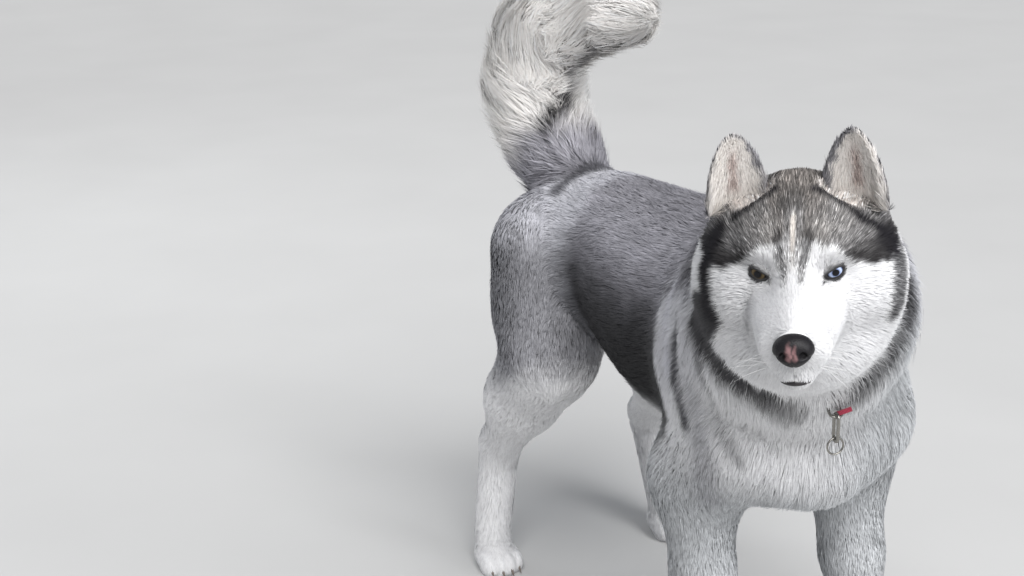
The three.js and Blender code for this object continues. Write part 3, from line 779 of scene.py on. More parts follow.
EAR_LINES = {
    "right": ((-19, -49, 58), (-28, -47, 53), (-37, -45, 48), (-45, -44, 42), (-54, -44, 35)),
    "left": ((17, -47, 58), (28, -46, 54), (38, -44, 47), (48, -43, 39), (57, -43, 31)),
}
EAR_LINE_WIDTH = (5.5, 2.6)
OUTER_EAR_LINE = ((52, -42, 34), (59, -43, 30), (68, -46, 22), (78, -50, 11), (85, -50, -2))
OUTER_EAR_WIDTH = (5.5, 2.5)


def side_marks(colour, local, ragged, fleck, side):
    up = local[:, 2]
    brow = spot(shaken(local, ragged, 0.5), BROW_SPOT * (SIDES[side], 1, 1), BROW_SIZE, 0.2)
    colour = mix(colour, WHITE, brow)
    line = stroke(shaken(local, ragged, 0.2), NOSE_LINES[side], *NOSE_LINE_WIDTH)
    line = line * (0.35 + 0.65 * band(up, -2, 14))
    colour = mix(colour, CAP_DARK, line * (0.55 + 0.45 * fleck))
    flat = shaken(local * FACE_PLANE, ragged, 0.4)
    edge = stroke(flat, CHEEK_EDGES[side] * FACE_PLANE, *CHEEK_WIDTH[side])
    colour = mix(colour, BLACK, edge * (1 - CHEEK_GRIZZLE[side] * fleck))
    colour = mix(colour, BLACK, stroke(local, TEARS[side], *TEAR_WIDTH))
    return mix(colour, BLACK, stroke(shaken(local, ragged, 0.3), EAR_LINES[side], *EAR_LINE_WIDTH) * 0.95)


def face_colours(local):
    left, forward, up = local.T
    ragged = noise(local, 9.0, 1) * 3.0 + noise(local, 3.5, 2) * 2.0
    fleck = 0.5 + 0.5 * noise(local, 2.2, 3)
    cap = band(up + ragged - np.interp(np.abs(left), *CAP_LINE), -2.5, 2.5) * band(forward, 32, 20)
    colour = mix(WHITE, cap_colours(local, ragged, fleck), cap)
    for s in SIDES.values():
        # Each ear's pit is cream, flecked with the ear's pink, which holds painted shade.
        pit = spot(shaken(local, ragged, 0.3), EAR_PIT * (s, 1, 1), EAR_PIT_SIZE, 0.15)
        colour = mix(colour, mix(EAR_CREAM, EAR_PINK_AND_SHADE, 0.4 * fleck), pit)
    beside = stroke(local, STRIPE, *BESIDE_STRIPE_WIDTH) * band(up, -4, 14)
    colour = mix(colour, CAP_GREY * 1.4, beside * (0.5 + 0.35 * fleck))
    for side in SIDES:
        colour = side_marks(colour, local, ragged, fleck, side)
    colour = mix(colour, BLACK, stroke(shaken(local, ragged, 0.3), OUTER_EAR_LINE, *OUTER_EAR_WIDTH))
    stripe = stroke(local, STRIPE, 2.0 + 2.2 * band(up, 34, 4), 1.3)
    colour = mix(colour, mix(CREAM, WHITE, band(up, 20, 4)), stripe)
    pepper = band(noise(local, 1.5, 5), 0.25, 0.6) * spot(local, PEPPER_SPOT, PEPPER_SIZE, 0.4)
    return mix(colour, DARK_GREY, 0.5 * pepper)


# %% [markdown]
# The saddle is near black low on the flank and grey along the back. The near black low down is partly the
# saddle's own colour and partly painted shade, where the flank turns in under the body. Its tone is a curve
# over the height, because the dark and the pale melt into each other without an edge. The thigh and the
# croup are paler.

# %% The saddle
SADDLE_TONE_AND_SHADE = (
    (350, 380, 405, 430, 455, 480, 500, 522, 540, 560),
    (0.014, 0.016, 0.024, 0.040, 0.10, 0.29, 0.41, 0.40, 0.33, 0.25),
)
SADDLE_TINT = np.array([0.985, 0.965, 1.06])
THIGH_FRONT = ((300, 360, 400, 440, 480, 520, 560), (105, 120, 134, 144, 146, 150, 165))


def saddle_colours(points, ragged):
    y, z = points[:, 1], points[:, 2]
    streak = noise(points * (1, 0.45, 1), 7, 8)
    # Partly painted shade: the curve falls to near black low on the flank, where it turns in under the body.
    tone = np.interp(z + ragged * 0.9, *SADDLE_TONE_AND_SHADE) * (1 + 0.22 * streak)
    croup = band(y + ragged - np.interp(z, *THIGH_FRONT), -16, 22)
    thigh = mix(PALE_GREY * 0.65, PALE_GREY * 0.58, band(z + ragged, 380, 440))
    thigh = mix(thigh, PALE_GREY * 1.2, band(z + ragged, 430, 490)) * (1 + 0.14 * streak[:, None])
    return mix(tone[:, None] * SADDLE_TINT, thigh, croup)


# %% [markdown]
# The body: the saddle starts behind FLANK_FRONT, a forward edge given over the height, and above
# WHITE_HEIGHT, given from breast to rump. In front of it the shoulder and the nape are grey, with a paler
# band, a shade and two dark strokes on the neck. Belly and breast are white. The forelegs and the far side
# of the breast and neck take a greyer white, which is painted shade. A mark names its line, radius,
# softness, how far the noise shakes it, its colour and its share.

# %% The body's colours
FLANK_FRONT = ((310, 345, 372, 413, 455, 493, 530, 570), (-110, -148, -150, -116, -112, -112, -140, -200))
WHITE_HEIGHT = ((-300, -200, -100, 60, 129, 160, 250, 330), (356, 356, 340, 322, 318, 308, 276, 262))
PALE_BAND = ((-100, -142, 520), (-112, -150, 485), (-119, -164, 460), (-121, -170, 430))
SHOULDER_SHADE = ((-123, -221, 422), (-120, -229, 388), (-115, -234, 352), (-99, -218, 305))
NECK_FRONT = ((-147, -200, 530), (-147, -220, 500), (-127, -191, 459), (-123, -186, 420), (-120, -205, 385))
NECK_SIDE = ((-160, -296, 510), (-143, -271, 463), (-118, -258, 405), (-99, -278, 366))
BODY_MARKS = (
    (PALE_BAND, 11, 5, 0.3, PALE_GREY * 1.5, 0.8),
    (SHOULDER_SHADE, 17, 14, 0.5, PALE_GREY * 0.7, 0.6),
    (NECK_FRONT, 9.0, 4.0, 0.35, DARK_GREY, 0.95),
    (mirrored(NECK_FRONT[:3]), 9.0, 4.0, 0.35, DARK_GREY, 0.95),
    (NECK_SIDE, 6.0, 4.0, 0.35, DARK_GREY, 0.6),
    (mirrored(NECK_SIDE[:3]), 6.0, 4.0, 0.35, DARK_GREY, 0.6),
)


def body_colours(points):
    x, y, z = points.T
    ragged = noise(points, 26, 6) * 9 + noise(points, 9, 7) * 4
    # Painted shade: the forelegs below the breast and the far side of the breast and neck take a greyer
    # white.
    low = band(y, 0, -120) * (1 - band(z, 290, 370))
    far = band(x, -60, 40) * band(y, -60, -180)
    colour = mix(WHITE, SHADED_WHITE, np.maximum(low, far))
    behind = band(y + ragged * 1.4 - np.interp(z, *FLANK_FRONT), -9, 9)
    high = band(z + ragged - np.interp(y, *WHITE_HEIGHT), -22, 26)
    inner = 1 - band(np.abs(x) + ragged * 0.5, 26, 52)
    high = high * (1 - inner * (1 - band(z, 330, 420)))
    colour = mix(colour, saddle_colours(points, ragged), behind * high)
    nape = band(z + ragged + 0.42 * (y + 190) - 505, -14, 26) * (1 - behind)
    shoulder = band(z + ragged * 1.3 + 0.6 * (y + 190), 370, 450) * (1 - behind)
    front = mix(PALE_GREY * 1.15, MID_GREY * 0.9, band(nape, 0.3, 1.0))
    colour = mix(colour, front, np.clip(shoulder * 0.6 + nape * 0.5, 0, 1))
    for line, radius, soft, shake, tone, share in BODY_MARKS:
        colour = mix(colour, tone, share * stroke(shaken(points, ragged, shake), line, radius, soft))
    return colour


# %% [markdown]
# The tail is cream with a grey root, one dark spot on its side and a dark line inside its curve.

# %% The tail's colours
TAIL_SPOT, TAIL_SPOT_WIDTH = ((-40, 308, 573), (-24, 306, 589), (-8, 309, 600)), (10, 5)
TAIL_INNER_LINE, TAIL_INNER_WIDTH = ((4, 313, 612), (3, 290, 643), (1, 250, 672)), (8, 5)
TAIL_ROOT_LINE, TAIL_ROOT_WIDTH = ((-60, 222, 512), (-36, 240, 524), (-10, 252, 528), (23, 264, 527)), (12, 6)


def tail_colours(points):
    z = points[:, 2]
    ragged = noise(points, 22, 9) * 12 + noise(points, 8, 10) * 5
    rim = band(points[:, 1], 300, 345)
    colour = mix(MID_GREY * 1.5, TAIL_CREAM, band(z + ragged + 45 * rim, 560, 600))
    shade = 0.09 * band(noise(points, 14, 12), 0.1, 0.7) * (1 - band(z, 640, 700))
    colour = mix(colour, PALE_GREY, shade)
    colour = mix(colour, BLACK, stroke(shaken(points, ragged, 0.3), TAIL_SPOT, *TAIL_SPOT_WIDTH))
    inner = stroke(shaken(points, ragged, 0.2), TAIL_INNER_LINE, *TAIL_INNER_WIDTH)
    return mix(colour, DARK_GREY, 0.75 * inner)


# %% [markdown]
# Body, tail and face are joined by which form is nearest. The cheek's black edge runs on under the throat as
# a thin strap, which crosses from head to neck, so it is drawn last, and so is the line over the tail's root.

# %% All markings
STRAPS = {
    "right": (
        (-84, -30, -48), (-92, -60, -78), (-95, -80, -102), (-85, -72, -115), (-75, -66, -126),
        (-61, -63, -141), (-44, -61, -153), (-30, -65, -165), (-16, -74, -180),
    ),
    "left": (
        (92, -119, -60), (96, -124, -90), (94, -115, -106), (86, -100, -118), (75, -89, -132),
        (59, -79, -147), (47, -80, -163), (36, -81, -174),
    ),
}
STRAP_WIDTH = {"right": (17.5, 4.0), "left": (12.5, 4.0)}
STRAP_SHARE = {"right": 0.97, "left": 0.85}


def markings(points):
    local = in_head(points)
    trunk_away = field(trunk_forms, points, 1.0)
    tail_share = band(trunk_away - field(tail_forms, points, 1.0), -14, 14)
    head_share = band(trunk_away - field(head_forms, points, 1.0), -16, 10)
    head_share *= band(local[:, 1], -112, -84)
    colour = mix(body_colours(points), tail_colours(points), tail_share)
    colour = mix(colour, face_colours(local), head_share)
    wander = noise(local, 12, 15)[:, None] * 3
    fade = 1 - 0.4 * band(local[:, 2], -145, -178)
    for side in SIDES:
        line = STRAPS[side] * FACE_PLANE
        strap = stroke(local * FACE_PLANE + wander, line, *STRAP_WIDTH[side]) * fade
        colour = mix(colour, BLACK * 1.3, strap * STRAP_SHARE[side])
    return mix(colour, DARK_GREY, 0.85 * stroke(points, TAIL_ROOT_LINE, *TAIL_ROOT_WIDTH))


# %% [markdown]
# An ear is told apart by where a point lies on the leaf: `t` runs from its base to its tip and `x` across.
# The back is dark, the inside cream with a pink streak down its middle, darkened as painted shade in the
# cup's hollow, and a dark outer rim.

# %% The ears' colours
def ear_colours(points, side):
    base, along, across, front, length = ear_frame(side)
    local = points - base
    t = local @ along / length
    x = local @ across
    half = EAR_HALF_WIDTH * np.clip(1 - t * t, 0, 1) ** EAR_ROUND
    inside = band(local @ front + ear_cup(t, x), -0.6, 0.6)
    ragged = noise(points, 6, 13) * 2.5
    # Partly painted shade: pink skin down the middle of the cup, darkened where the cup is deepest.
    streak = 1 - band(np.abs(x - 2 + ragged), 1.5, 11.0 - 4 * t.clip(0, 1))
    streak *= band(t, 0.02, 0.2) * (1 - band(t, 0.5, 0.85))
    inner = mix(EAR_CREAM, EAR_PINK_AND_SHADE, streak * 0.65)
    rim = band(-x + ragged - half, -6.5, -2.0) + 0.6 * band(t + ragged * 0.01, 0.9, 0.99)
    inner = mix(inner, DARK_GREY * 2.6, np.clip(rim, 0, 1) * 0.85)
    back = mix(DARK_GREY * 1.3, MID_GREY, 0.5 + 0.5 * noise(points, 9, 14))
    return mix(back, inner, inside)


# %% [markdown]
# Each point of the skin takes the colour of the coat straight above it. The inner rings of a lid are black.
# The colours are kept on the points, as an attribute that the material reads.

# %% Colour the skin
LAST_BLACK_RING = (2.8, 3.6)


def coat_surface(points, forms=every_form):
    return onto_surface(forms, points, 1.0, rounds=1, reach=30.0)


def read_all(rows, name, width, kind=float):
    flat = np.empty(len(rows) * width, kind)
    rows.foreach_get(name, flat)
    return flat.reshape(-1, width)


def paint(mesh, colours):
    layer = mesh.color_attributes.new("markings", "FLOAT_COLOR", "POINT")
    opaque = np.column_stack([colours, np.ones(len(colours))])
    layer.data.foreach_set("color", opaque.astype(np.float32).ravel())


skin_points = millimetres(read_all(skin.data.vertices, "co", 3))
skin_normals = read_all(skin.data.vertices, "normal", 3)
skin_colours = markings(coat_surface(skin_points))
for side in SIDES:
    first, last = own_parts[f"ear_{side}"]
    skin_colours[first:last] = ear_colours(skin_points[first:last], side)
    first, last = own_parts[f"lid_{side}"]
    ring = np.arange(last - first) // LID_STEPS
    rim = 1 - band(ring, *LAST_BLACK_RING)
    skin_colours[first:last] = mix(skin_colours[first:last], RIM_BLACK, rim)
paint(skin.data, skin_colours)
report("markings on", len(skin_points), "points")

# %% [markdown]
# ## Finishes
# Shader sums are easier to read as Python. A small class wraps a socket, so that `1 - mask * 2` adds the
# Math nodes, and one method adds any other node.


# %% A socket that can be reckoned with, and a finish that holds nodes
class Reckon:
    def __init__(self, finish, socket):
        self.finish, self.socket = finish, socket

    def math(self, operation, first, second):
        return self.finish.node("ShaderNodeMath", {"operation": operation}, {0: first, 1: second})

    def __add__(self, other):
        return self.math("ADD", self, other)

    def __sub__(self, other):
        return self.math("SUBTRACT", self, other)

    def __mul__(self, other):
        return self.math("MULTIPLY", self, other)

    def __truediv__(self, other):
        return self.math("DIVIDE", self, other)

    def __rsub__(self, other):
        return self.math("SUBTRACT", other, self)

    __radd__ = __add__
    __rmul__ = __mul__


class Finish:
    def __init__(self, name, **constants):
        self.material = bpy.data.materials.new(name)
        self.material.use_nodes = True
        self.tree = self.material.node_tree
        self.shader = self.tree.nodes["Principled BSDF"]
        for socket, value in constants.items():
            self.shader.inputs[socket.replace("_", " ")].default_value = value

    def node(self, kind, settings=None, values=None, output=0):
        node = self.tree.nodes.new(kind)
        for key, value in (settings or {}).items():
            if key == "stops":
                self.set_stops(node.color_ramp, value)
            else:
                setattr(node, key, value)
        for key, value in (values or {}).items():
            if isinstance(value, Reckon):
                self.tree.links.new(value.socket, node.inputs[key])
            else:
                node.inputs[key].default_value = value
        return Reckon(self, node.outputs[output])

    def set_stops(self, ramp, stops):
        while len(ramp.elements) < len(stops):
            ramp.elements.new(1.0)
        for element, (place, colour) in zip(ramp.elements, stops):
            element.position = place
            element.color = (*colour, 1.0)

    def vector(self, operation, first, second=None, output=0):
        values = {0: first} if second is None else {0: first, 1: second}
        return self.node("ShaderNodeVectorMath", {"operation": operation}, values, output)

    def along(self, way, axis):
        return self.vector("DOT_PRODUCT", way, tuple(axis), output=1)

    def feed(self, socket, value):
        self.tree.links.new(value.socket, self.shader.inputs[socket])

    def places(self):
        return self.node("ShaderNodeTexCoord", output=3)

    def attribute(self, name):
        return self.node("ShaderNodeAttribute", {"attribute_name": name})

    def noise(self, scale, detail=3.0, vector=None):
        values = {"Vector": vector or self.places(), "Scale": scale, "Detail": detail}
        return self.node("ShaderNodeTexNoise", None, values)

    def blend(self, factor, first, second, how="MIX"):
        values = {0: factor, 6: first, 7: second}
        return self.node("ShaderNodeMix", {"data_type": "RGBA", "blend_type": how}, values, output=2)

    def bump(self, height, strength, distance):
        values = {"Height": height, "Strength": strength, "Distance": distance}
        self.feed("Normal", self.node("ShaderNodeBump", None, values))


def wear(piece, finish):
    piece.data.materials.clear()
    piece.data.materials.append(finish.material)
    report(piece.name, "wears", finish.material.name)


# %% [markdown]
# The skin shows only between tufts, so it wears the coat's own markings with a fine grain of short hair.
# Tufts get the same colours, a soft sheen along the edges, and little variations from hair to hair.

# %% Skin and coat finishes
FLESH = ("chest", "belly", "rump", "neck", "tail", "head", "jaw", "ear")
LIMB_PARTS = ("upper", "lower", "pastern", "paw")
hide = Finish("hide", Roughness=0.75, Sheen_Weight=0.15)
grain = hide.noise(1400.0, 2.0)
marked = hide.attribute("markings")
grain_tone = hide.blend(grain, (0, 0, 0, 1), (1, 1, 1, 1))
hide.feed("Base Color", hide.blend(0.35, marked, grain_tone, "OVERLAY"))
hide.bump(grain, 0.5, 0.0006)
wear(skin, hide)
flesh = [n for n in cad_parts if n.startswith(FLESH)]
flesh += [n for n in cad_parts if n.endswith(LIMB_PARTS)]
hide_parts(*flesh)

coat_finish = Finish("coat", Sheen_Weight=0.04, Sheen_Roughness=0.4, Specular_IOR_Level=0.1)
streaks = coat_finish.noise(260.0, 2.0)
tint = coat_finish.blend(streaks, (0.86, 0.86, 0.86, 1), (1, 1, 1, 1))
coat_finish.feed("Base Color", coat_finish.blend(1.0, coat_finish.attribute("markings"), tint, "MULTIPLY"))
coat_finish.feed("Roughness", streaks * 0.2 + 0.48)

# %% [markdown]
# ## Eyes
# The dog has one brown eye, on its right, and one pale blue eye. Each is a ball turned to look at you, with
# a slight bulge for the cornea. The iris is painted by the angle from the line of sight: pupil, fibres, a
# dark outer ring, and then the dark white of the eye. A clear coat makes it wet. The colours of an iris are
# its inner, middle and outer tone, and the places of its rings are shares of ANGLE_SPAN, in radians.

# %% Eyeballs
CORNEA_ANGLE, CORNEA_RISE = 36.0, 0.7
IRIS_COLOURS = {
    "right": ((0.045, 0.03, 0.012), (0.13, 0.095, 0.05), (0.045, 0.034, 0.018), "eye_amber"),
    "left": ((0.22, 0.28, 0.48), (0.55, 0.64, 0.84), (0.14, 0.18, 0.32), "eye_blue"),
}
PUPIL, PUPIL_EDGE, IRIS_MIDDLE, LIMBUS, IRIS_END, WHITE_OF_EYE = 0.135, 0.155, 0.24, 0.33, 0.37, 0.6
ANGLE_SPAN = 1.8
PUPIL_BLACK, LIMBUS_BLACK = (0.004, 0.004, 0.006), (0.012, 0.012, 0.018)


def eyeball(side):
    centre, axis, wide, _ = eye_frame(side)
    ball = bmesh.new()
    bmesh.ops.create_uvsphere(ball, u_segments=64, v_segments=48, radius=1)
    turn = Vector((0, 0, 1)).rotation_difference(Vector(axis)).to_matrix()
    for v in ball.verts:
        angle = math.degrees(math.acos(max(-1.0, min(1.0, v.co.z))))
        rise = CORNEA_RISE * max(0.0, 1 - (angle / CORNEA_ANGLE) ** 2)
        v.co = Vector(metres(centre)) + turn @ v.co * (EYE_RADIUS + rise) / 1000
    eye = object_from(ball, f"eyeball_{side}")
    eye.data.shade_smooth()
    return eye, metres(centre), axis, wide


def iris_finish(side, centre, axis, wide):
    inner, middle, outer, slot = IRIS_COLOURS[side]
    finish = Finish(f"iris_{side}", Roughness=0.4, Coat_Weight=0.3, Coat_Roughness=0.02, Coat_IOR=1.38,
                    Specular_IOR_Level=0.15)
    way = finish.vector("NORMALIZE", finish.vector("SUBTRACT", finish.places(), tuple(centre)))
    ahead = finish.along(way, axis)
    across = finish.along(way, wide)
    upward = finish.along(way, np.cross(axis, wide))
    turn = finish.node("ShaderNodeMath", {"operation": "ARCTAN2"}, {0: upward, 1: across})
    angle = finish.node("ShaderNodeMath", {"operation": "ARCCOSINE"}, {0: ahead}) / ANGLE_SPAN
    polar = finish.node("ShaderNodeCombineXYZ", None, {0: turn * 9.0, 1: angle * 6.0})
    fibres = finish.noise(1.6, 4.0, polar)
    stops = (
        (0.0, PUPIL_BLACK),
        (PUPIL, PUPIL_BLACK),
        (PUPIL_EDGE, inner),
        (IRIS_MIDDLE, middle),
        (LIMBUS - 0.03, outer),
        (LIMBUS, LIMBUS_BLACK),
        (IRIS_END, (0.02, 0.016, 0.015)),
        (WHITE_OF_EYE, (0.09, 0.06, 0.055)),
    )
    ramp = finish.node("ShaderNodeValToRGB", {"stops": stops}, {0: angle})
    shade = finish.blend(fibres, (0.45, 0.45, 0.45, 1), (1.5, 1.5, 1.5, 1))
    finish.feed("Base Color", finish.blend(1.0, ramp, shade, "MULTIPLY"))
    finish.bump(fibres, 0.15, 0.0002)
    return finish, slot


for side in SIDES:
    eye, centre, axis, wide = eyeball(side)
    finish, slot = iris_finish(side, centre, axis, wide)
    wear(eye, finish)
    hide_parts(f"eye_{side}")
    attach(eye, "root")

# %% [markdown]
# ## Nose and lips
# The nose leather starts as a ball. Its top is broad, its foot narrow, and two comma shaped nostrils and a
# groove are pressed into it. It is black with a pink fleck in the middle. The closed mouth shows as a thin
# black lip.

# %% Nose leather
NOSE_PLACE, NOSE_SIZE = np.array([0, 92, -24.0]), np.array([16.8, 11.8, 14.6])
NOSE_FOOT, NOSE_FLAT = 0.24, 1.2
NOSTRIL, NOSTRIL_SIZE, NOSTRIL_DEPTH = (7.6, -1.0), (3.1, 3.3), 5.5
SLIT_END, SLIT_WIDTH, SLIT_DEPTH = (14.5, -4.5), 1.5, 2.6
GROOVE_WIDTH, GROOVE_TOP, GROOVE_FADE = 0.9, 5, 3
WING, WING_SIZE, WING_RISE = (11.5, 2.5), (3.5, 5), 0.9


def near_line(x, z, start, end):
    start, end = np.array(start), np.array(end)
    way = end - start
    along = max(0.0, min(1.0, ((x - start[0]) * way[0] + (z - start[1]) * way[1]) / (way @ way)))
    return math.hypot(x - start[0] - along * way[0], z - start[1] - along * way[1])


def nose_relief(x, z):
    hole = ((x - NOSTRIL[0]) / NOSTRIL_SIZE[0]) ** 2 + ((z - NOSTRIL[1]) / NOSTRIL_SIZE[1]) ** 2
    slit = near_line(x, z, NOSTRIL, SLIT_END) / SLIT_WIDTH
    groove = math.exp(-(x / GROOVE_WIDTH) ** 2)
    if z >= GROOVE_TOP:
        groove *= math.exp(-((z - GROOVE_TOP) / GROOVE_FADE) ** 2)
    pressed = NOSTRIL_DEPTH * math.exp(-hole ** 1.5)
    pressed += SLIT_DEPTH * math.exp(-slit ** 2) * (1 - math.exp(-hole))
    wing = ((x - WING[0]) / WING_SIZE[0]) ** 2 + ((z - WING[1]) / WING_SIZE[1]) ** 2
    return WING_RISE * math.exp(-wing) - groove - pressed


pad = bmesh.new()
bmesh.ops.create_uvsphere(pad, u_segments=96, v_segments=72, radius=1)
nose_marks = []
for v in pad.verts:
    across, back, up = v.co
    x = across * (1 - NOSE_FOOT * max(0.0, -up)) * NOSE_SIZE[0]
    forward = -back * NOSE_SIZE[1]
    z = up * NOSE_SIZE[2] - NOSE_FLAT * max(0.0, up) ** 3
    if forward > 0:
        forward += nose_relief(abs(x), z)
    v.co = metres(head_point(x, NOSE_PLACE[1] + forward, NOSE_PLACE[2] + z))
    nose_marks.append((x, forward, z))
nose = object_from(pad, "nose_leather")
nose.data.shade_smooth()
nose_marks = np.array(nose_marks)

# %% [markdown]
# The leather is black, with a pink fleck of two spots, the one beside the other. Its surface is a field of
# fine pebbles, so its bump and its roughness come from the distance to the middle of each pebble.

# %% The nose's colours and finish
LEATHER_BLACK, LEATHER_PINK = np.array([0.008, 0.007, 0.009]), np.array([0.34, 0.19, 0.195])
FLECKS = (((-3.2, 0, 1.8), (2.6, 1, 6.6)), ((1.8, 0, 1.2), (1.7, 1, 6.0)))
wander = noise(nose_marks, 3.0, 20)[:, None] * (1.4, 0, 0.8)
nose_marks = nose_marks * (1, 0, 1) + wander
fleck = np.max([spot(nose_marks, place, size, 0.5) for place, size in FLECKS], axis=0)
paint(nose.data, mix(LEATHER_BLACK, LEATHER_PINK, fleck * 0.8))
leather = Finish("nose_leather", Coat_Weight=0.12, Coat_Roughness=0.3, Specular_IOR_Level=0.25)
pebbles = leather.node("ShaderNodeTexVoronoi", None, {"Vector": leather.places(), "Scale": 780.0})
leather.feed("Base Color", leather.attribute("markings"))
leather.feed("Roughness", pebbles * 0.25 + 0.4)
leather.bump(1 - pebbles, 0.6, 0.0004)
wear(nose, leather)
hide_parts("nose")
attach(nose, "root")

# %% [markdown]
# The lip is a thin tube. A ring of points is extruded along a path step by step, and each new ring is turned
# to face the path's way. The same tube makes the whiskers.

# %% A tube along a path
def tube(path, radii, sides=8):
    path = np.asarray(path, float)
    ways = np.gradient(path, axis=0)
    ways /= np.linalg.norm(ways, axis=1)[:, None]
    shape = bmesh.new()
    ring = bmesh.ops.create_circle(shape, segments=sides, radius=1)["verts"]
    edges = list(shape.edges)
    hint = np.array([0.0, 0.0, 1.0])
    last, last_side, last_up = Vector(), Vector((1, 0, 0)), Vector((0, 1, 0))
    for number, (place, way, radius) in enumerate(zip(path, ways, radii)):
        side = np.cross(way, hint)
        side /= np.linalg.norm(side)
        up = np.cross(side, way)
        if number:
            grown = bmesh.ops.extrude_edge_only(shape, edges=edges)["geom"]
            ring = [v for v in grown if isinstance(v, bmesh.types.BMVert)]
            edges = [e for e in grown if isinstance(e, bmesh.types.BMEdge)]
            edges = [e for e in edges if all(v in ring for v in e.verts)]
        for v in ring:
            off = v.co - last
            spin = math.atan2(off.dot(last_up), off.dot(last_side))
            v.co = place + radius * (side * math.cos(spin) + up * math.sin(spin))
        last, last_side, last_up = Vector(place), Vector(side), Vector(up)
    bmesh.ops.holes_fill(shape, edges=shape.edges)
    bmesh.ops.recalc_face_normals(shape, faces=shape.faces)
    return shape


# %% [markdown]
# The lip's path is a few points round the mouth, run through by a smooth curve and slid on to the skin. It
# stands a little above the skin and is thickest in the middle, where it shows.

# %% Lips
LIP_SIDE = ((26, 45, -62), (23, 60, -61), (17, 71, -60.5), (11, 79, -60), (5, 84, -59.5))
LIP_PATH = (*mirrored(LIP_SIDE), (0, 85, -59), *LIP_SIDE[::-1])
LIP_COUNT, LIP_STAND = 41, 0.8
LIP_ENDS, LIP_RADIUS, LIP_REACH, LIP_FADE = 0.5, 2.3, 25, 11


def smooth_path(points, count):
    points = np.asarray(points, float)
    steps = np.linspace(0, len(points) - 1, count)
    index = np.minimum(steps.astype(int), len(points) - 2)
    part = (steps - index)[:, None]
    ends = np.vstack([2 * points[0] - points[1], points, 2 * points[-1] - points[-2]])
    a, b, c, d = (ends[index + k] for k in range(4))
    square = 2 * a - 5 * b + 4 * c - d
    cube = 3 * b - a - 3 * c + d
    return 0.5 * (2 * b + (c - a) * part + square * part ** 2 + cube * part ** 3)


lip_path = np.array([head_point(*p) for p in smooth_path(LIP_PATH, LIP_COUNT)])
lip_path = onto_surface(every_form, lip_path, UNDERCOAT, rounds=6)
lip_path += depth_and_slope(every_form, lip_path, UNDERCOAT)[1] * LIP_STAND
steps = np.linspace(-LIP_REACH, LIP_REACH, LIP_COUNT)
taper = LIP_ENDS + LIP_RADIUS * np.exp(-((steps / LIP_FADE) ** 2))
lips = object_from(tube(metres(lip_path), taper / 1000), "lips")
lips.data.shade_smooth()
lip_finish = Finish("lip", Base_Color=(0.014, 0.011, 0.013, 1), Roughness=0.45, Coat_Weight=0.2)
lip_finish.bump(lip_finish.noise(900.0), 0.3, 0.0003)
wear(lips, lip_finish)
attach(lips, "root")

# %% [markdown]
# ## Claws
# Each paw shows four claws. A claw is a cone that swells a little and bends down as it narrows, in dark horn.

# %% Claws
CLAW_LENGTH, CLAW_RADIUS, CLAW_POINT = 17.0, 3.0, 0.35
CLAW_TILT, CLAW_HEIGHT, CLAW_BEND, CLAW_REACH = 122.0, 9.0, 3.0, 17
CLAW_SWELL, CLAW_FLATNESS = 0.25, 0.85
horn = Finish("claw_horn")
ridges = horn.noise(700.0, 4.0)
horn.feed("Base Color", horn.blend(ridges, (0.07, 0.058, 0.05, 1), (0.26, 0.22, 0.19, 1)))
horn.feed("Roughness", ridges * 0.3 + 0.3)
horn.bump(ridges, 0.3, 0.0003)


def claw_shape(middle):
    claw = bmesh.new()
    bmesh.ops.create_cone(claw, cap_ends=True, segments=14, radius1=CLAW_RADIUS, radius2=CLAW_POINT,
                          depth=CLAW_LENGTH)
    rows = [e for e in claw.edges if abs(e.verts[0].co.z - e.verts[1].co.z) > 1]
    bmesh.ops.subdivide_edges(claw, edges=rows, cuts=5)
    tilt = Matrix.Rotation(math.radians(CLAW_TILT), 4, "X")
    for v in claw.verts:
        along = v.co.z / CLAW_LENGTH + 0.5
        swell = 1 + CLAW_SWELL * math.sin(math.pi * along)
        bent = Vector((v.co.x * swell * CLAW_FLATNESS, v.co.y * swell - CLAW_BEND * along ** 2, v.co.z))
        v.co = middle + (tilt @ bent) / 1000
    return claw


for leg, (x, y, size) in paw_places.items():
    claws = bmesh.new()
    for toe in TOES:
        across, front = toe_place(x, y, size, toe)
        middle = (across, front - CLAW_REACH * size, CLAW_HEIGHT)
        add_to(claws, claw_shape(Vector(metres(middle))))
    piece = object_from(claws, f"claws_{leg}")
    piece.data.shade_smooth()
    wear(piece, horn)
    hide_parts(*(f"{leg}_claw_{i}" for i in range(1, 5)))
    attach(piece, "root")

# %% [markdown]
# ## Collar
# A webbing band lies in the coat, low at the throat, where it parts the hair. Its section is a flat rectangle
# with rounded corners, spun all the way round. It is modelled in millimetres at the origin and then put in
# place: round the neck's own line, and a little lower on the throat's side.

# %% Collar band
MILLIMETRE = 0.001
NECK_ROOT, NECK_TOP = np.array([-5.0, -190, 450]), np.array([-92.0, -350, 560])
NECK_AT_COLLAR, THROAT = np.array([-62.0, -309, 535]), np.array([-53.0, -371, 453])
COLLAR_RADIUS, COLLAR_THICKNESS, COLLAR_WIDTH = 74.0, 4.0, 20.0
COLLAR_SAG, COLLAR_ROUNDING, COLLAR_STEPS = 12.0, 1.3, 128
neck_way = (NECK_TOP - NECK_ROOT) / np.linalg.norm(NECK_TOP - NECK_ROOT)
throat_way = THROAT - NECK_AT_COLLAR
throat_way -= neck_way * (throat_way @ neck_way)
throat_way /= np.linalg.norm(throat_way)
collar_middle = NECK_AT_COLLAR + throat_way * COLLAR_SAG


def basis(x, y, z, place):
    turn = Matrix(np.column_stack([x, y, z]).tolist()).to_4x4()
    return Matrix.Translation(metres(place)) @ turn @ Matrix.Scale(MILLIMETRE, 4)


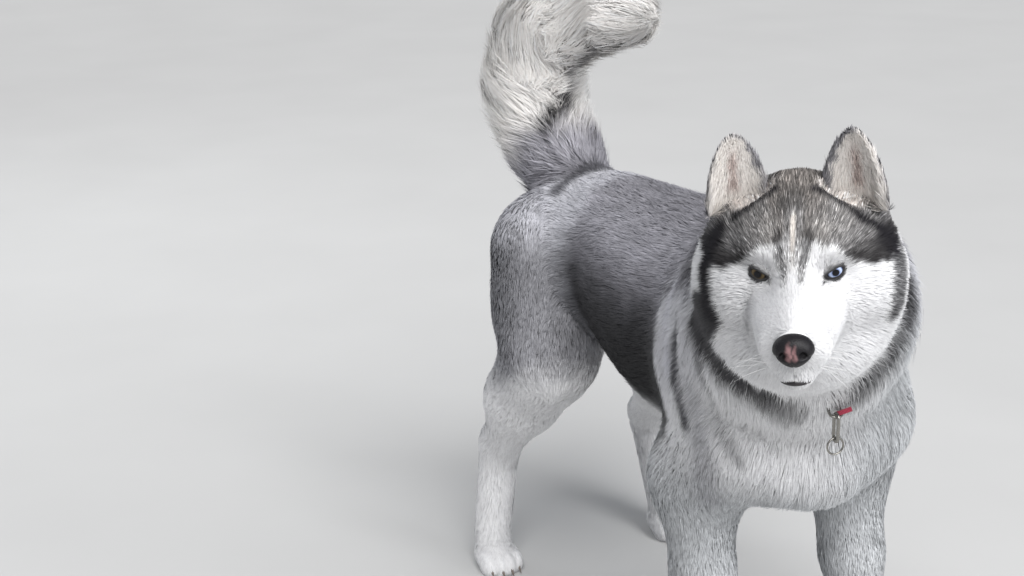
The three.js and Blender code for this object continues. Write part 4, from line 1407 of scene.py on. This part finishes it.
belt = bmesh.new()
inside = COLLAR_RADIUS - COLLAR_THICKNESS
corners = ((inside, 0), (COLLAR_RADIUS, 0), (COLLAR_RADIUS, -COLLAR_WIDTH), (inside, -COLLAR_WIDTH))
belt.faces.new([belt.verts.new((x, y, 0)) for x, y in corners])
bmesh.ops.bevel(belt, geom=belt.verts[:], offset=COLLAR_ROUNDING, segments=3, profile=0.5, affect="VERTICES",
                material=-1)
bmesh.ops.spin(belt, geom=belt.faces[:] + belt.edges[:] + belt.verts[:], cent=(0, 0, 0), axis=(0, 1, 0),
               angle=2 * math.pi, steps=COLLAR_STEPS, use_merge=True, use_duplicate=False)
bmesh.ops.delete(belt, geom=[f for f in belt.faces if len(f.verts) > 4], context="FACES_ONLY")
collar_at = basis(np.cross(neck_way, throat_way), neck_way, throat_way, collar_middle)
bmesh.ops.transform(belt, matrix=collar_at, verts=belt.verts)
bmesh.ops.recalc_face_normals(belt, faces=belt.faces)
collar = object_from(belt, "collar_band")
collar.data.shade_smooth()
webbing = Finish("collar_webbing", Roughness=0.8, Sheen_Weight=0.3)
threads = webbing.node("ShaderNodeTexWave", {"bands_direction": "DIAGONAL"},
                       {"Vector": webbing.places(), "Scale": 420.0, "Distortion": 1.5})
webbing.feed("Base Color", webbing.blend(threads, (0.22, 0.008, 0.028, 1), (0.42, 0.02, 0.06, 1)))
webbing.bump(threads, 0.7, 0.0006)
wear(collar, webbing)
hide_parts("collar")
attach(collar, "root")

# %% [markdown]
# A short webbing keeper is what shows of the band: a flat bar with rounded edges, which stands out sideways
# from the hair.

# %% Keeper
TAB_PLACE, TAB_SIZE, TAB_ROUNDING = np.array([-52.5, -380, 450.0]), (14.0, 2.4, 4.6), 0.8
TAB_TURN, TAB_RISE = -23.0, -20.0


def placed(place, *turns):
    at = Matrix.Translation(metres(place))
    for degrees, axis in turns:
        at = at @ Matrix.Rotation(math.radians(degrees), 4, axis)
    return at @ Matrix.Scale(MILLIMETRE, 4)


tab = bmesh.new()
bmesh.ops.create_cube(tab, size=1)
bmesh.ops.scale(tab, vec=TAB_SIZE, verts=tab.verts)
bmesh.ops.bevel(tab, geom=tab.edges[:], offset=TAB_ROUNDING, segments=3, profile=0.5, affect="EDGES",
                material=-1)
tab_at = placed(TAB_PLACE, (TAB_TURN, "Z"), (TAB_RISE, "Y"))
bmesh.ops.transform(tab, matrix=tab_at, verts=tab.verts)
keeper = object_from(tab, "collar_keeper")
keeper.data.shade_smooth()
wear(keeper, webbing)
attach(keeper, "root")

# %% [markdown]
# Link, split ring and loop are steel wire bent into a ring. A small circle is spun into a torus, and its two
# halves are moved apart where the real one is long. A long link hangs at the throat, a thin split ring hangs
# from the link, and a loop joins the link to the band, as long as the gap between them asks for.

# %% Link and ring
LINK_PLACE, LINK_TURN = np.array([-60.0, -379, 435.0]), -6.0
LINK_WIRE, LINK_RADIUS, LINK_STRETCH = 1.7, 4.2, 18.0
RING_RADIUS, RING_WIRE, RING_DROP = 8.0, 0.95, -17.8
WIRE_SIDES, WIRE_STEPS = 12, 56
steel = Finish("ring_steel", Base_Color=(0.30, 0.29, 0.27, 1), Metallic=1.0)
wear_marks = steel.noise(500.0, 4.0)
steel.feed("Roughness", wear_marks * 0.25 + 0.16)


def wire_loop(name, radius, wire, stretch, at):
    loop = bmesh.new()
    start = Matrix.Translation((radius, 0, 0)) @ Matrix.Rotation(math.pi / 2, 4, "X")
    circle = bmesh.ops.create_circle(loop, segments=WIRE_SIDES, radius=wire, matrix=start)
    bmesh.ops.spin(loop, geom=circle["verts"] + loop.edges[:], cent=(0, 0, 0), axis=(0, 0, 1),
                   angle=2 * math.pi, steps=WIRE_STEPS, use_merge=True)
    for v in loop.verts:
        v.co.y += math.copysign(stretch / 2, v.co.y) if abs(v.co.y) > 0.01 else 0
    bmesh.ops.transform(loop, matrix=at, verts=loop.verts)
    bmesh.ops.recalc_face_normals(loop, faces=loop.faces)
    piece = object_from(loop, name)
    piece.data.shade_smooth()
    wear(piece, steel)
    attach(piece, "root")
    return piece


link_at = placed(LINK_PLACE, (LINK_TURN, "Z"))
upright = Matrix.Rotation(math.pi / 2, 4, "X")
edgeways = Matrix.Rotation(math.pi / 2, 4, "Y")
link = wire_loop("hanging_link", LINK_RADIUS, LINK_WIRE, LINK_STRETCH, link_at @ upright @ edgeways)
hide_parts("link")
ring_at = link_at @ Matrix.Translation((0, 0, RING_DROP)) @ upright
ring = wire_loop("split_ring", RING_RADIUS, RING_WIRE, 0, ring_at)
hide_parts("ring")

# %% [markdown]
# The loop's lower end hangs in the link, and its upper end reaches the band's front.

# %% The collar's loop
LOOP_WIRE, LOOP_RADIUS, GAP = 1.4, 6.0, 0.4
loop_end = LINK_PLACE + (0, 0, LINK_STRETCH / 2 + LINK_RADIUS - LINK_WIRE - LOOP_WIRE - GAP)
collar_front = collar_middle + throat_way * COLLAR_RADIUS - neck_way * COLLAR_WIDTH / 2
loop_way = collar_front - loop_end
loop_length = np.linalg.norm(loop_way) - LOOP_WIRE - GAP
loop_way /= np.linalg.norm(loop_way)
loop_across = np.array([math.cos(math.radians(LINK_TURN)), math.sin(math.radians(LINK_TURN)), 0])
loop_across -= loop_way * (loop_across @ loop_way)
loop_across /= np.linalg.norm(loop_across)
loop_middle = loop_end + loop_way * loop_length / 2
loop_at = basis(loop_across, loop_way, np.cross(loop_across, loop_way), loop_middle)
loop = wire_loop("collar_ring", LOOP_RADIUS, LOOP_WIRE, loop_length - 2 * LOOP_RADIUS, loop_at)
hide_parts("collar_loop")
report("collar and rings, the loop is", loop_length.round(1), "mm long")

# %% [markdown]
# ## The coat
# Every tuft starts at a root on the skin and lies along the body. Its way is the sum of what the nearest
# parts ask for: back along the trunk, down the legs, away from the nose on the head, round the eyes. Each
# part also gives the tuft its length and width, and how many there are, in tufts a square millimetre. Near a
# joint the parts share the tuft, by how near each one is.

# %% The parts of the coat
PART_FORMS = {"trunk": trunk_forms[:5], "neck": trunk_forms[5:], "tail": tail_forms, "head": head_forms}
PART_FORMS.update(leg_forms)
COAT = {
    "trunk": (27.0, 1.3, 0.34),
    "neck": (44.0, 1.3, 0.55),
    "tail": (52.0, 1.4, 0.6),
    "head": (11.0, 0.75, 1.2),
}
LEG_COAT = (15.0, 1.25, 0.42)
COAT.update((leg, LEG_COAT) for leg in leg_forms)
LENGTH, WIDTH, DENSITY = range(3)
PARTS = list(PART_FORMS)
TAIL, HEAD = PARTS.index("tail"), PARTS.index("head")
PART_MELT = 9.0


def part_shares(points):
    away = np.stack([field(forms, points, UNDERCOAT) for forms in PART_FORMS.values()])
    shares = np.exp(-(away - away.min(0)) / PART_MELT)
    return shares / shares.sum(0)


def by_part(shares, measure):
    return sum(share * COAT[part][measure] for share, part in zip(shares, PARTS))


def face_size(points, shares):
    local = in_head(points)
    small = 1 - 0.48 * band(local[:, 1], -30, 45)
    large = 1.5 * band(local[:, 1], -30, -75) + 0.5 * band(local[:, 2], -30, -75)
    paw = 1 - 0.45 * band(points[:, 2], 90, 30)
    return (1 + shares[HEAD] * (small + large - 1)) * paw


# %% [markdown]
# On the head the hair runs away from the nose, sideways and down over the cheeks, and down under the throat.
# Round the eye it gives way, so that no tuft lies across the lids.

# %% The way the hair lies
NOSE_TIP = (0, 85, -15)
LID_CLEAR, EYE_CLEAR = 13, 24.0
CHEEK_WAY, THROAT_WAY = (0.5, -0.3, -0.7), (0, -0.7, -0.3)
TRUNK_WAY = np.array([0, 1.0, -0.22])
NECK_PATH = ((-92, -350, 560), (-45, -285, 520), (-5, -190, 450), (0, -120, 400))
NECK_DROOP = (0, 0, -0.55)


def along_path(points, path):
    best, ways = np.full(len(points), FAR_AWAY), np.zeros((len(points), 3))
    for gap, way in line_parts(points, path):
        ways[gap < best] = way / np.linalg.norm(way)
        best = np.minimum(best, gap)
    return ways


def round_eye(local, way, s):
    off = local - np.array(EYE_CENTRE) * (s, 1, 1)
    off[:, 1] *= 0.5
    far = np.linalg.norm(off, axis=1)
    out = off / np.maximum(far, 1e-6)[:, None]
    inward = np.maximum(-(way * out).sum(1), 0) + 0.25
    return out * (inward * (1 - band(far, LID_CLEAR, EYE_CLEAR)))[:, None]


def head_flow(points):
    local = in_head(points)
    left, _, up = local.T
    way = local - NOSE_TIP
    way /= np.linalg.norm(way, axis=1)[:, None]
    cheek = band(np.abs(left), 34, 62) * band(up, 22, -10)
    outwards = np.stack([np.sign(left), np.ones(len(left)), np.ones(len(left))], 1)
    way += cheek[:, None] * (outwards * CHEEK_WAY)
    way += band(up, -60, -80)[:, None] * THROAT_WAY
    for s in SIDES.values():
        way += round_eye(local, way, s)
    return (way * (1, -1, 1)) @ HEAD_TURN.T


def flow(points, shares):
    drooping = np.array(NECK_DROOP) * band(points[:, 1], -200, -290)[:, None]
    ways = {
        "trunk": np.tile(TRUNK_WAY, (len(points), 1)),
        "neck": along_path(points, NECK_PATH) + drooping,
        "tail": along_path(points, TAIL_PATH),
        "head": head_flow(points),
    }
    ways.update((leg, along_path(points, path)) for leg, path in leg_paths.items())
    return sum(share[:, None] * ways[part] for share, part in zip(shares, PARTS))


# %% [markdown]
# Roots are scattered over the skin's triangles in proportion to area and thickness of the coat. Nose, lips
# and the rims of the eyes stay bare, and so does the little window over the collar's loop. A root takes its
# normal, its colour and its place in the skin's layout from the corners of its triangle.

# %% Where the skin stays bare
skin.data.calc_loop_triangles()
triangle_verts = read_all(skin.data.loop_triangles, "vertices", 3, np.int32)
triangle_loops = read_all(skin.data.loop_triangles, "loops", 3, np.int32)
skin_layout = read_all(skin.data.uv_layers["OFBake"].data, "uv", 2)
NOSE_CLEAR, LIP_CLEAR, LOOP_CLEAR = 0.8, 2.2, 9.0
BARE_RING, BARE_LID_RING = 4, 3
LID_REACH, LEAST_AHEAD, BESIDE_EYE = 24, 0.1, 2


def near_any(points, spots, reach):
    gaps = [np.linalg.norm(points - place, axis=1) for place in spots]
    return np.min(gaps, axis=0) < reach


def in_lid(points, ring):
    inside = np.zeros(len(points), bool)
    half_width, top, bottom, *_ = LID_RINGS[ring]
    for side in SIDES:
        centre, axis, wide, tall = eye_frame(side)
        off = points - centre
        ahead = np.maximum(off @ axis, LEAST_AHEAD)
        x = off @ wide * EYE_RADIUS / ahead / half_width
        y = off @ tall * EYE_RADIUS / ahead
        y = y / np.where(y > 0, top, bottom)
        close = np.linalg.norm(off, axis=1) < LID_REACH
        inside |= (x * x + y * y < 1) & (ahead > BESIDE_EYE) & close
    return inside


def bare(points):
    local = in_head(points)
    on_nose = (((local - NOSE_PLACE) / (NOSE_SIZE + NOSE_CLEAR)) ** 2).sum(1) < 1
    hidden = on_nose | near_any(points, lip_path, LIP_CLEAR) | in_lid(points, BARE_RING)
    return hidden | near_any(points, [collar_front, loop_end], LOOP_CLEAR)


# %% [markdown]
# Evenly spaced steps, each shaken a little, choose a triangle for every root, and two draws its place there.

# %% Scatter the roots
def scatter(first, last, density):
    mine = np.flatnonzero((triangle_verts[:, 0] >= first) & (triangle_verts[:, 0] < last))
    corners = skin_points[triangle_verts[mine]]
    sides = np.cross(corners[:, 1] - corners[:, 0], corners[:, 2] - corners[:, 0])
    area = np.linalg.norm(sides, axis=1) / 2
    wanted = area * density(corners.mean(1))
    total = int(wanted.sum())
    steps = (np.arange(total) + random.random(total)) / total * wanted.sum()
    chosen = np.minimum(np.searchsorted(np.cumsum(wanted), steps), len(mine) - 1)
    a, b = random.random((2, total))
    flip = a + b > 1
    a, b = np.where(flip, 1 - a, a), np.where(flip, 1 - b, b)
    shares = np.stack([1 - a - b, a, b], 1)[:, :, None]
    verts, loops = triangle_verts[mine[chosen]], triangle_loops[mine[chosen]]
    normal = (skin_normals[verts] * shares).sum(1)
    normal /= np.linalg.norm(normal, axis=1)[:, None]
    place, layout, colour = (
        (values[rows] * shares).sum(1)
        for values, rows in ((skin_points, verts), (skin_layout, loops), (skin_colours, verts))
    )
    return place, normal, layout, colour


def body_density(points):
    shares = part_shares(points)
    dense = by_part(shares, DENSITY)
    dense *= 1 + shares[HEAD] * 0.35 * band(in_head(points)[:, 1], -50, 0)
    return dense / face_size(points, shares) ** 0.5 * ~bare(points)


root, normal, layout, _ = scatter(*own_parts["body"], body_density)
report(len(root), "roots")

# %% [markdown]
# A tuft is a thin blade of five points: two at the root, two half way and one at the tip. A million such
# faces are laid as arrays in one go, because an operator a tuft would take hours. A blade takes two tones,
# one for its lower half and one for its tip, and painted shade makes its root darker and its tip a little
# lighter. Its shading normal is nearly the skin's, so that the coat shades as one surface. All its points
# share one small patch of the skin's layout.

# %% Blades
BLADE_CORNERS = np.array([0, 1, 3, 2, 2, 3, 4])
BLADE_STARTS, BLADE_SIDES = (0, 4), (4, 3)
# Painted shade along a blade: its root points darker, its tip a little lighter.
BLADE_SHADE = np.array([0.88, 0.88, 0.98, 0.98, 1.05])
BLADE_TONES = (0, 0, 0, 0, 1)
ROOT_WIDTH, BLADE_LIE = 0.7, 0.35
LAYOUT_PATCH = 0.003
PATCH = np.array([(-0.5, -0.5), (0.5, -0.5), (-0.5, 0), (0.5, 0), (0, 0.5)]) * LAYOUT_PATCH
NORMAL_SHARE = 0.92
FLOOR_CLEAR = 0.2


def unit(ways):
    return ways / np.maximum(np.linalg.norm(ways, axis=1), 1e-9)[:, None]


def blade_mesh(name, points):
    count, per_blade = points.shape[:2]
    first = np.arange(count)[:, None]
    corners = (first * per_blade + BLADE_CORNERS).ravel()
    mesh = bpy.data.meshes.new(name)
    mesh.vertices.add(count * per_blade)
    mesh.vertices.foreach_set("co", metres(points.reshape(-1, 3)).ravel())
    mesh.loops.add(len(corners))
    mesh.loops.foreach_set("vertex_index", corners)
    mesh.polygons.add(count * len(BLADE_SIDES))
    mesh.polygons.foreach_set("loop_start", (first * len(BLADE_CORNERS) + BLADE_STARTS).ravel())
    mesh.polygons.foreach_set("loop_total", np.tile(BLADE_SIDES, count))
    mesh.update(calc_edges=True)
    return mesh


def blades(name, slot, root, middle, tip, normal, width, colour, layout):
    way = unit(tip - root)
    lie = random.normal(0, BLADE_LIE, len(root))
    across = unit(np.cross(way, normal))
    across = unit(across * np.cos(lie)[:, None] + normal * np.sin(lie)[:, None])
    half = (across * width[:, None]) / 2
    foot = half * ROOT_WIDTH
    points = np.stack([root - foot, root + foot, middle - half, middle + half, tip], 1)
    points[..., 2] = np.maximum(points[..., 2], FLOOR_CLEAR)
    mesh = blade_mesh(name, points)
    sheet = mesh.uv_layers.new(name="OFBake")
    sheet.data.foreach_set("uv", (layout[:, None] + PATCH[BLADE_CORNERS]).ravel())
    paint(mesh, (colour[:, BLADE_TONES] * BLADE_SHADE[:, None]).reshape(-1, 3))
    flat = np.cross(across, way)
    flat *= np.sign((flat * normal).sum(1))[:, None]
    shading = unit(normal * NORMAL_SHARE + flat * (1 - NORMAL_SHARE))
    mesh.shade_smooth()
    mesh.normals_split_custom_set_from_vertices(np.repeat(shading, points.shape[1], axis=0))
    piece = bpy.data.objects.new(name, mesh)
    bpy.context.scene.collection.objects.link(piece)
    wear(piece, coat_finish)
    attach(piece, "root")
    report(name, len(root), "tufts")


# %% [markdown]
# A tuft's way is laid flat on the skin and turned by a slow noise, which turns neighbours the same way and
# so makes clumps, and by a faster one on the head. Its middle and tip slide along the smooth union's slope
# to their own share of the coat's depth, so no hair but the loose ones leaves the outline of the solids. A
# little strip behind the link and round the keeper stays clear of hair.

# %% Clumps, bare strips and tints
CLUMP_TURN, BODY_CLUMP, HEAD_CLUMP = 0.2, 22.0, 6.0
LOOSE_SHARE, LOOSE_RISE, LOOSE_WIDTH = 0.05, 1.2, 0.45
HANGING = (loop_end + (0, 0, 4), LINK_PLACE, LINK_PLACE + (0, 0, RING_DROP - RING_RADIUS))
SHOWN = (collar_front, TAB_PLACE - loop_across * 7, TAB_PLACE + loop_across * 7)
BARE_STRIPS = ((HANGING, 7.0), (SHOWN, 6.0))
DARKEST, PALEST = 0.004, 0.95


def tangent(ways, normals):
    return unit(ways - normals * (ways * normals).sum(1)[:, None])


def spun(ways, normals, angle):
    return ways * np.cos(angle)[:, None] + np.cross(normals, ways) * np.sin(angle)[:, None]


def in_strip(points):
    return np.any([line_gap(points, line) < reach for line, reach in BARE_STRIPS], axis=0)


def near_forms(points, reach=45.0):
    sample = points[::20]
    return [form for form in every_form if form.distance(sample, 1.0).min() < form.blend + reach]


def vary(inner, outer, strength):
    light = outer.mean(1)
    grey = band(light, 0.02, 0.12) * (1 - band(light, 0.5, 0.75))
    lift = np.exp(random.normal(0, 1, len(inner)) * (0.05 + strength * grey))
    return np.clip(np.stack([inner, outer], 1) * lift[:, None, None], DARKEST, PALEST)


# %% [markdown]
# Every tuft draws its own length, width and height. Its colours are those of the markings at its middle and
# at its tip, and a tuft that would cross a bare strip is left out.

# %% Lay the tufts of the body
def clumped(start, up, shares):
    head = shares[HEAD]
    slow = noise(start, BODY_CLUMP, 31) + 0.5 * noise(start, BODY_CLUMP / 2.5, 32)
    fine = noise(start, HEAD_CLUMP, 33) + random.normal(0, 0.25, len(start))
    turn = CLUMP_TURN * (slow * (1 - head) + fine * (0.45 + 0.35 * (1 - head)))
    return spun(tangent(flow(start, shares), up), up, turn)


def lay(name, slot, take):
    start, up, sheet = root[take], normal[take], layout[take]
    count = len(start)
    forms = near_forms(start)
    shares = part_shares(start)
    head, tail = shares[HEAD], shares[TAIL]
    way = clumped(start, up, shares)
    size = face_size(start, shares)
    length = by_part(shares, LENGTH) * size * random.uniform(0.7, 1.2, count)
    length *= 1 + 0.25 * noise(start, BODY_CLUMP, 34)
    width = by_part(shares, WIDTH) * size ** 0.6 * random.uniform(0.7, 1.3, count)
    high = 1 - (0.32 + 0.45 * head) * random.random(count) ** 2 + 0.07 * noise(start, BODY_CLUMP / 2, 35)
    high += 0.8 * tail * np.maximum(noise(start, 8.0, 37), 0)
    high = np.clip(high, 0.1, 1.03 + 0.3 * tail)
    loose = random.random(count) < LOOSE_SHARE * (1 + 2 * tail)
    high[loose] *= LOOSE_RISE
    width[loose] *= LOOSE_WIDTH
    level = UNDERCOAT + (1 - UNDERCOAT) * high
    half_level = UNDERCOAT + (level - UNDERCOAT) * 0.8
    middle = onto_surface(forms, start + way * length[:, None] * 0.5, half_level, 1, 25.0)
    tip = onto_surface(forms, start + way * length[:, None], level, 2, 40.0)
    stray = way * (length * random.normal(0, 0.07, count))[:, None]
    inner, outer = (markings(coat_surface(points, forms) + stray) for points in (middle, tip))
    tint = vary(inner, outer, 0.08 + 0.4 * head)
    keep = ~(in_strip(middle) | in_strip(tip))
    parts = (start - up * 0.4, middle, tip, up, width, tint, sheet)
    blades(name, slot, *(part[keep] for part in parts))


# %% [markdown]
# Each part of the coat is a piece of its own, cut into several where it would hold too many triangles.

# %% The body's coat
MOST = 64000
PIECE_SLOTS = {"trunk": "coat_grey", "tail": "coat_cream"}
part_of = part_shares(root).argmax(0)
for number, part in enumerate(PARTS):
    mine = np.flatnonzero(part_of == number)
    for piece_number, take in enumerate(np.array_split(mine, math.ceil(len(mine) / MOST))):
        lay(f"coat_{part}_{piece_number + 1}", PIECE_SLOTS.get(part, "coat_white"), take)

# %% [markdown]
# Ears and lids have no depth in the smooth union, so their tufts rise straight from the leaf: short on the
# back of the ear, longer and softer inside it, and very short round the eyes.

# %% Tufts of the ears and lids
EAR_DENSITY, LID_DENSITY = 1.1, 2.2
EAR_TUFT_WIDTH, LID_TUFT_WIDTH = 0.75, 0.5
LID_LENGTH, LID_HEIGHT = 4.0, 0.9


def lay_straight(name, roots, way, length, height, width):
    start, up, sheet, tint = roots
    count = len(start)
    way = spun(tangent(way, up), up, 0.3 * noise(start, 5, 36) + random.normal(0, 0.12, count))
    length = length * random.uniform(0.7, 1.2, count)
    height = height * random.uniform(0.4, 1.2, count)
    middle = start + way * length[:, None] * 0.5 + up * height[:, None] * 0.8
    tip = start + way * length[:, None] + up * height[:, None]
    widths = width * random.uniform(0.7, 1.3, count)
    blades(name, "coat_white", start, middle, tip, up, widths, vary(tint, tint, 0.2), sheet)


def lay_ear(side):
    base, along, across, front, tall = ear_frame(side)
    roots = scatter(*own_parts[f"ear_{side}"], lambda points: np.full(len(points), EAR_DENSITY))
    start, up = roots[:2]
    x, reach = (start - base) @ across, (start - base) @ along
    inside = band(up @ front, 0.0, 0.4)
    way = along - across * (np.sign(x) * 0.3 * band(np.abs(x), 4, 16))[:, None]
    length = (8 + 7 * inside * (1 - band(reach, 30, 60))) * (1 - 0.55 * band(reach, 0.7 * tall, tall))
    lay_straight(f"coat_ear_{side}", roots, way, length, 1.4 + 2.2 * inside, EAR_TUFT_WIDTH)


def lay_lid(side):
    centre = eye_frame(side)[0]
    roots = scatter(*own_parts[f"lid_{side}"], lambda points: LID_DENSITY * ~in_lid(points, BARE_LID_RING))
    way = unit(roots[0] - centre) + 0.4 * unit(roots[0] - head_point(*NOSE_TIP))
    lay_straight(f"coat_lid_{side}", roots, way, LID_LENGTH, LID_HEIGHT, LID_TUFT_WIDTH)


for side in SIDES:
    lay_ear(side)
    lay_lid(side)

# %% [markdown]
# A few pale whiskers stand out from the muzzle. They are thin tubes that droop.

# %% Whiskers
WHISKER_ROOTS = ((12, 74, -40), (15, 68, -45), (17, 62, -38), (18, 55, -46), (19, 50, -40), (17, 66, -50))
WHISKER_WAY, WHISKER_SPREAD = (1.0, -0.15, -0.1), 0.18
WHISKER_LENGTH, WHISKER_RADIUS, WHISKER_DROOP = 42.0, 0.22, (0, 0, 9)
whisker_finish = Finish("whisker", Base_Color=(0.8, 0.8, 0.8, 1), Roughness=0.4)
whisker_set = bmesh.new()
steps = np.linspace(0, 1, 12)[:, None]
for s in SIDES.values():
    for place in WHISKER_ROOTS:
        start = on_side(s, place)[None]
        start = onto_surface(every_form, start, UNDERCOAT, rounds=6)[0]
        way = head_way(*(np.array(WHISKER_WAY) * (s, 1, 1) + random.normal(0, WHISKER_SPREAD, 3)))
        long = WHISKER_LENGTH * random.uniform(0.7, 1.1)
        path = start + way * long * steps - WHISKER_DROOP * steps ** 2
        radii = WHISKER_RADIUS / 1000 * (1.05 - steps[:, 0])
        add_to(whisker_set, tube(metres(path), radii, sides=5))
whiskers = object_from(whisker_set, "whiskers")
whiskers.data.shade_smooth()
wear(whiskers, whisker_finish)
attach(whiskers, "root")

# %% [markdown]
# ## Stage, light and camera
# A pale floor and soft studio light: one very broad sun high on the dog's right, a disk in front, a dimmer
# one behind, and a pale room all round.

# %% Floor and lights
FLOOR_SIZE, FLOOR_ROWS = 12.0, 8
ROOM_COLOUR, ROOM_STRENGTH = (0.88, 0.92, 1.0, 1), 0.30
SUN_WAY, SUN_SPREAD, SUN_STRENGTH = (-0.1, -0.65, 0.75), 50, 3.6
ground = bmesh.new()
bmesh.ops.create_grid(ground, x_segments=FLOOR_ROWS, y_segments=FLOOR_ROWS, size=FLOOR_SIZE)
floor = object_from(ground, "floor")
plaster = Finish("floor_plaster", Roughness=0.9)
cloudy = plaster.noise(3.0)
plaster.feed("Base Color", plaster.blend(cloudy, (0.52, 0.52, 0.515, 1), (0.57, 0.57, 0.565, 1)))
floor.data.materials.append(plaster.material)
floor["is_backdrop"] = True

room = bpy.data.worlds.new("room")
bpy.context.scene.world = room
room.use_nodes = True
room.node_tree.nodes["Background"].inputs["Color"].default_value = ROOM_COLOUR
room.node_tree.nodes["Background"].inputs["Strength"].default_value = ROOM_STRENGTH
bpy.context.scene.view_settings.view_transform = "Standard"

sky = bpy.data.lights.new("sky", "SUN")
sky.energy, sky.angle, sky.color = SUN_STRENGTH, math.radians(SUN_SPREAD), (1.0, 0.99, 0.98)
overhead = bpy.data.objects.new("sky", sky)
overhead.rotation_euler = Vector(SUN_WAY).to_track_quat("Z", "Y").to_euler()
bpy.context.scene.collection.objects.link(overhead)


def soft_light(name, place, aim, size, watts, colour):
    data = bpy.data.lights.new(name, "AREA")
    data.shape, data.size, data.energy, data.color = "DISK", size, watts, colour
    lamp = bpy.data.objects.new(name, data)
    lamp.location = place
    lamp.rotation_euler = (Vector(aim) - Vector(place)).to_track_quat("-Z", "Y").to_euler()
    bpy.context.scene.collection.objects.link(lamp)


soft_light("front", (1.3, -2.6, 1.6), (-0.1, -0.3, 0.5), 1.4, 32, (0.97, 0.98, 1.0))
soft_light("back", (-0.9, 2.4, 1.8), (0, 0.2, 0.5), 1.6, 12, (0.95, 0.98, 1.0))

# %% [markdown]
# The camera stands where the photographer stood, a little to the dog's right and above it. Its place and its
# focal length, in widths of the picture, were solved from the size of the dog and where its parts are seen.

# %% Camera
PICTURE_WIDTH, FOCAL_PIXELS, SENSOR = 1024, 1803.0, 36.0
CAMERA_PLACE = np.array([-916.8, -1653.3, 1055.2])
CAMERA_RIGHT = (0.91835, -0.39548, -0.01485)
CAMERA_UP = (0.13370, 0.27471, 0.95219)
right = Vector(CAMERA_RIGHT).normalized()
back = right.cross(Vector(CAMERA_UP)).normalized()
up = back.cross(right)
lens = bpy.data.cameras.new("camera")
lens.sensor_width = SENSOR
lens.lens = FOCAL_PIXELS / PICTURE_WIDTH * SENSOR
camera = bpy.data.objects.new("camera", lens)
camera_turn = Matrix((right, up, back)).transposed().to_4x4()
camera.matrix_world = Matrix.Translation(metres(CAMERA_PLACE)) @ camera_turn
bpy.context.scene.collection.objects.link(camera)
bpy.context.scene.camera = camera

# %% [markdown]
# ## Sizes
# The boxes of the solids and of the finished model are printed.

# %% Finish
seen_box = [list(corner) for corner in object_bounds()]
report("boxes", cad_box, seen_box)
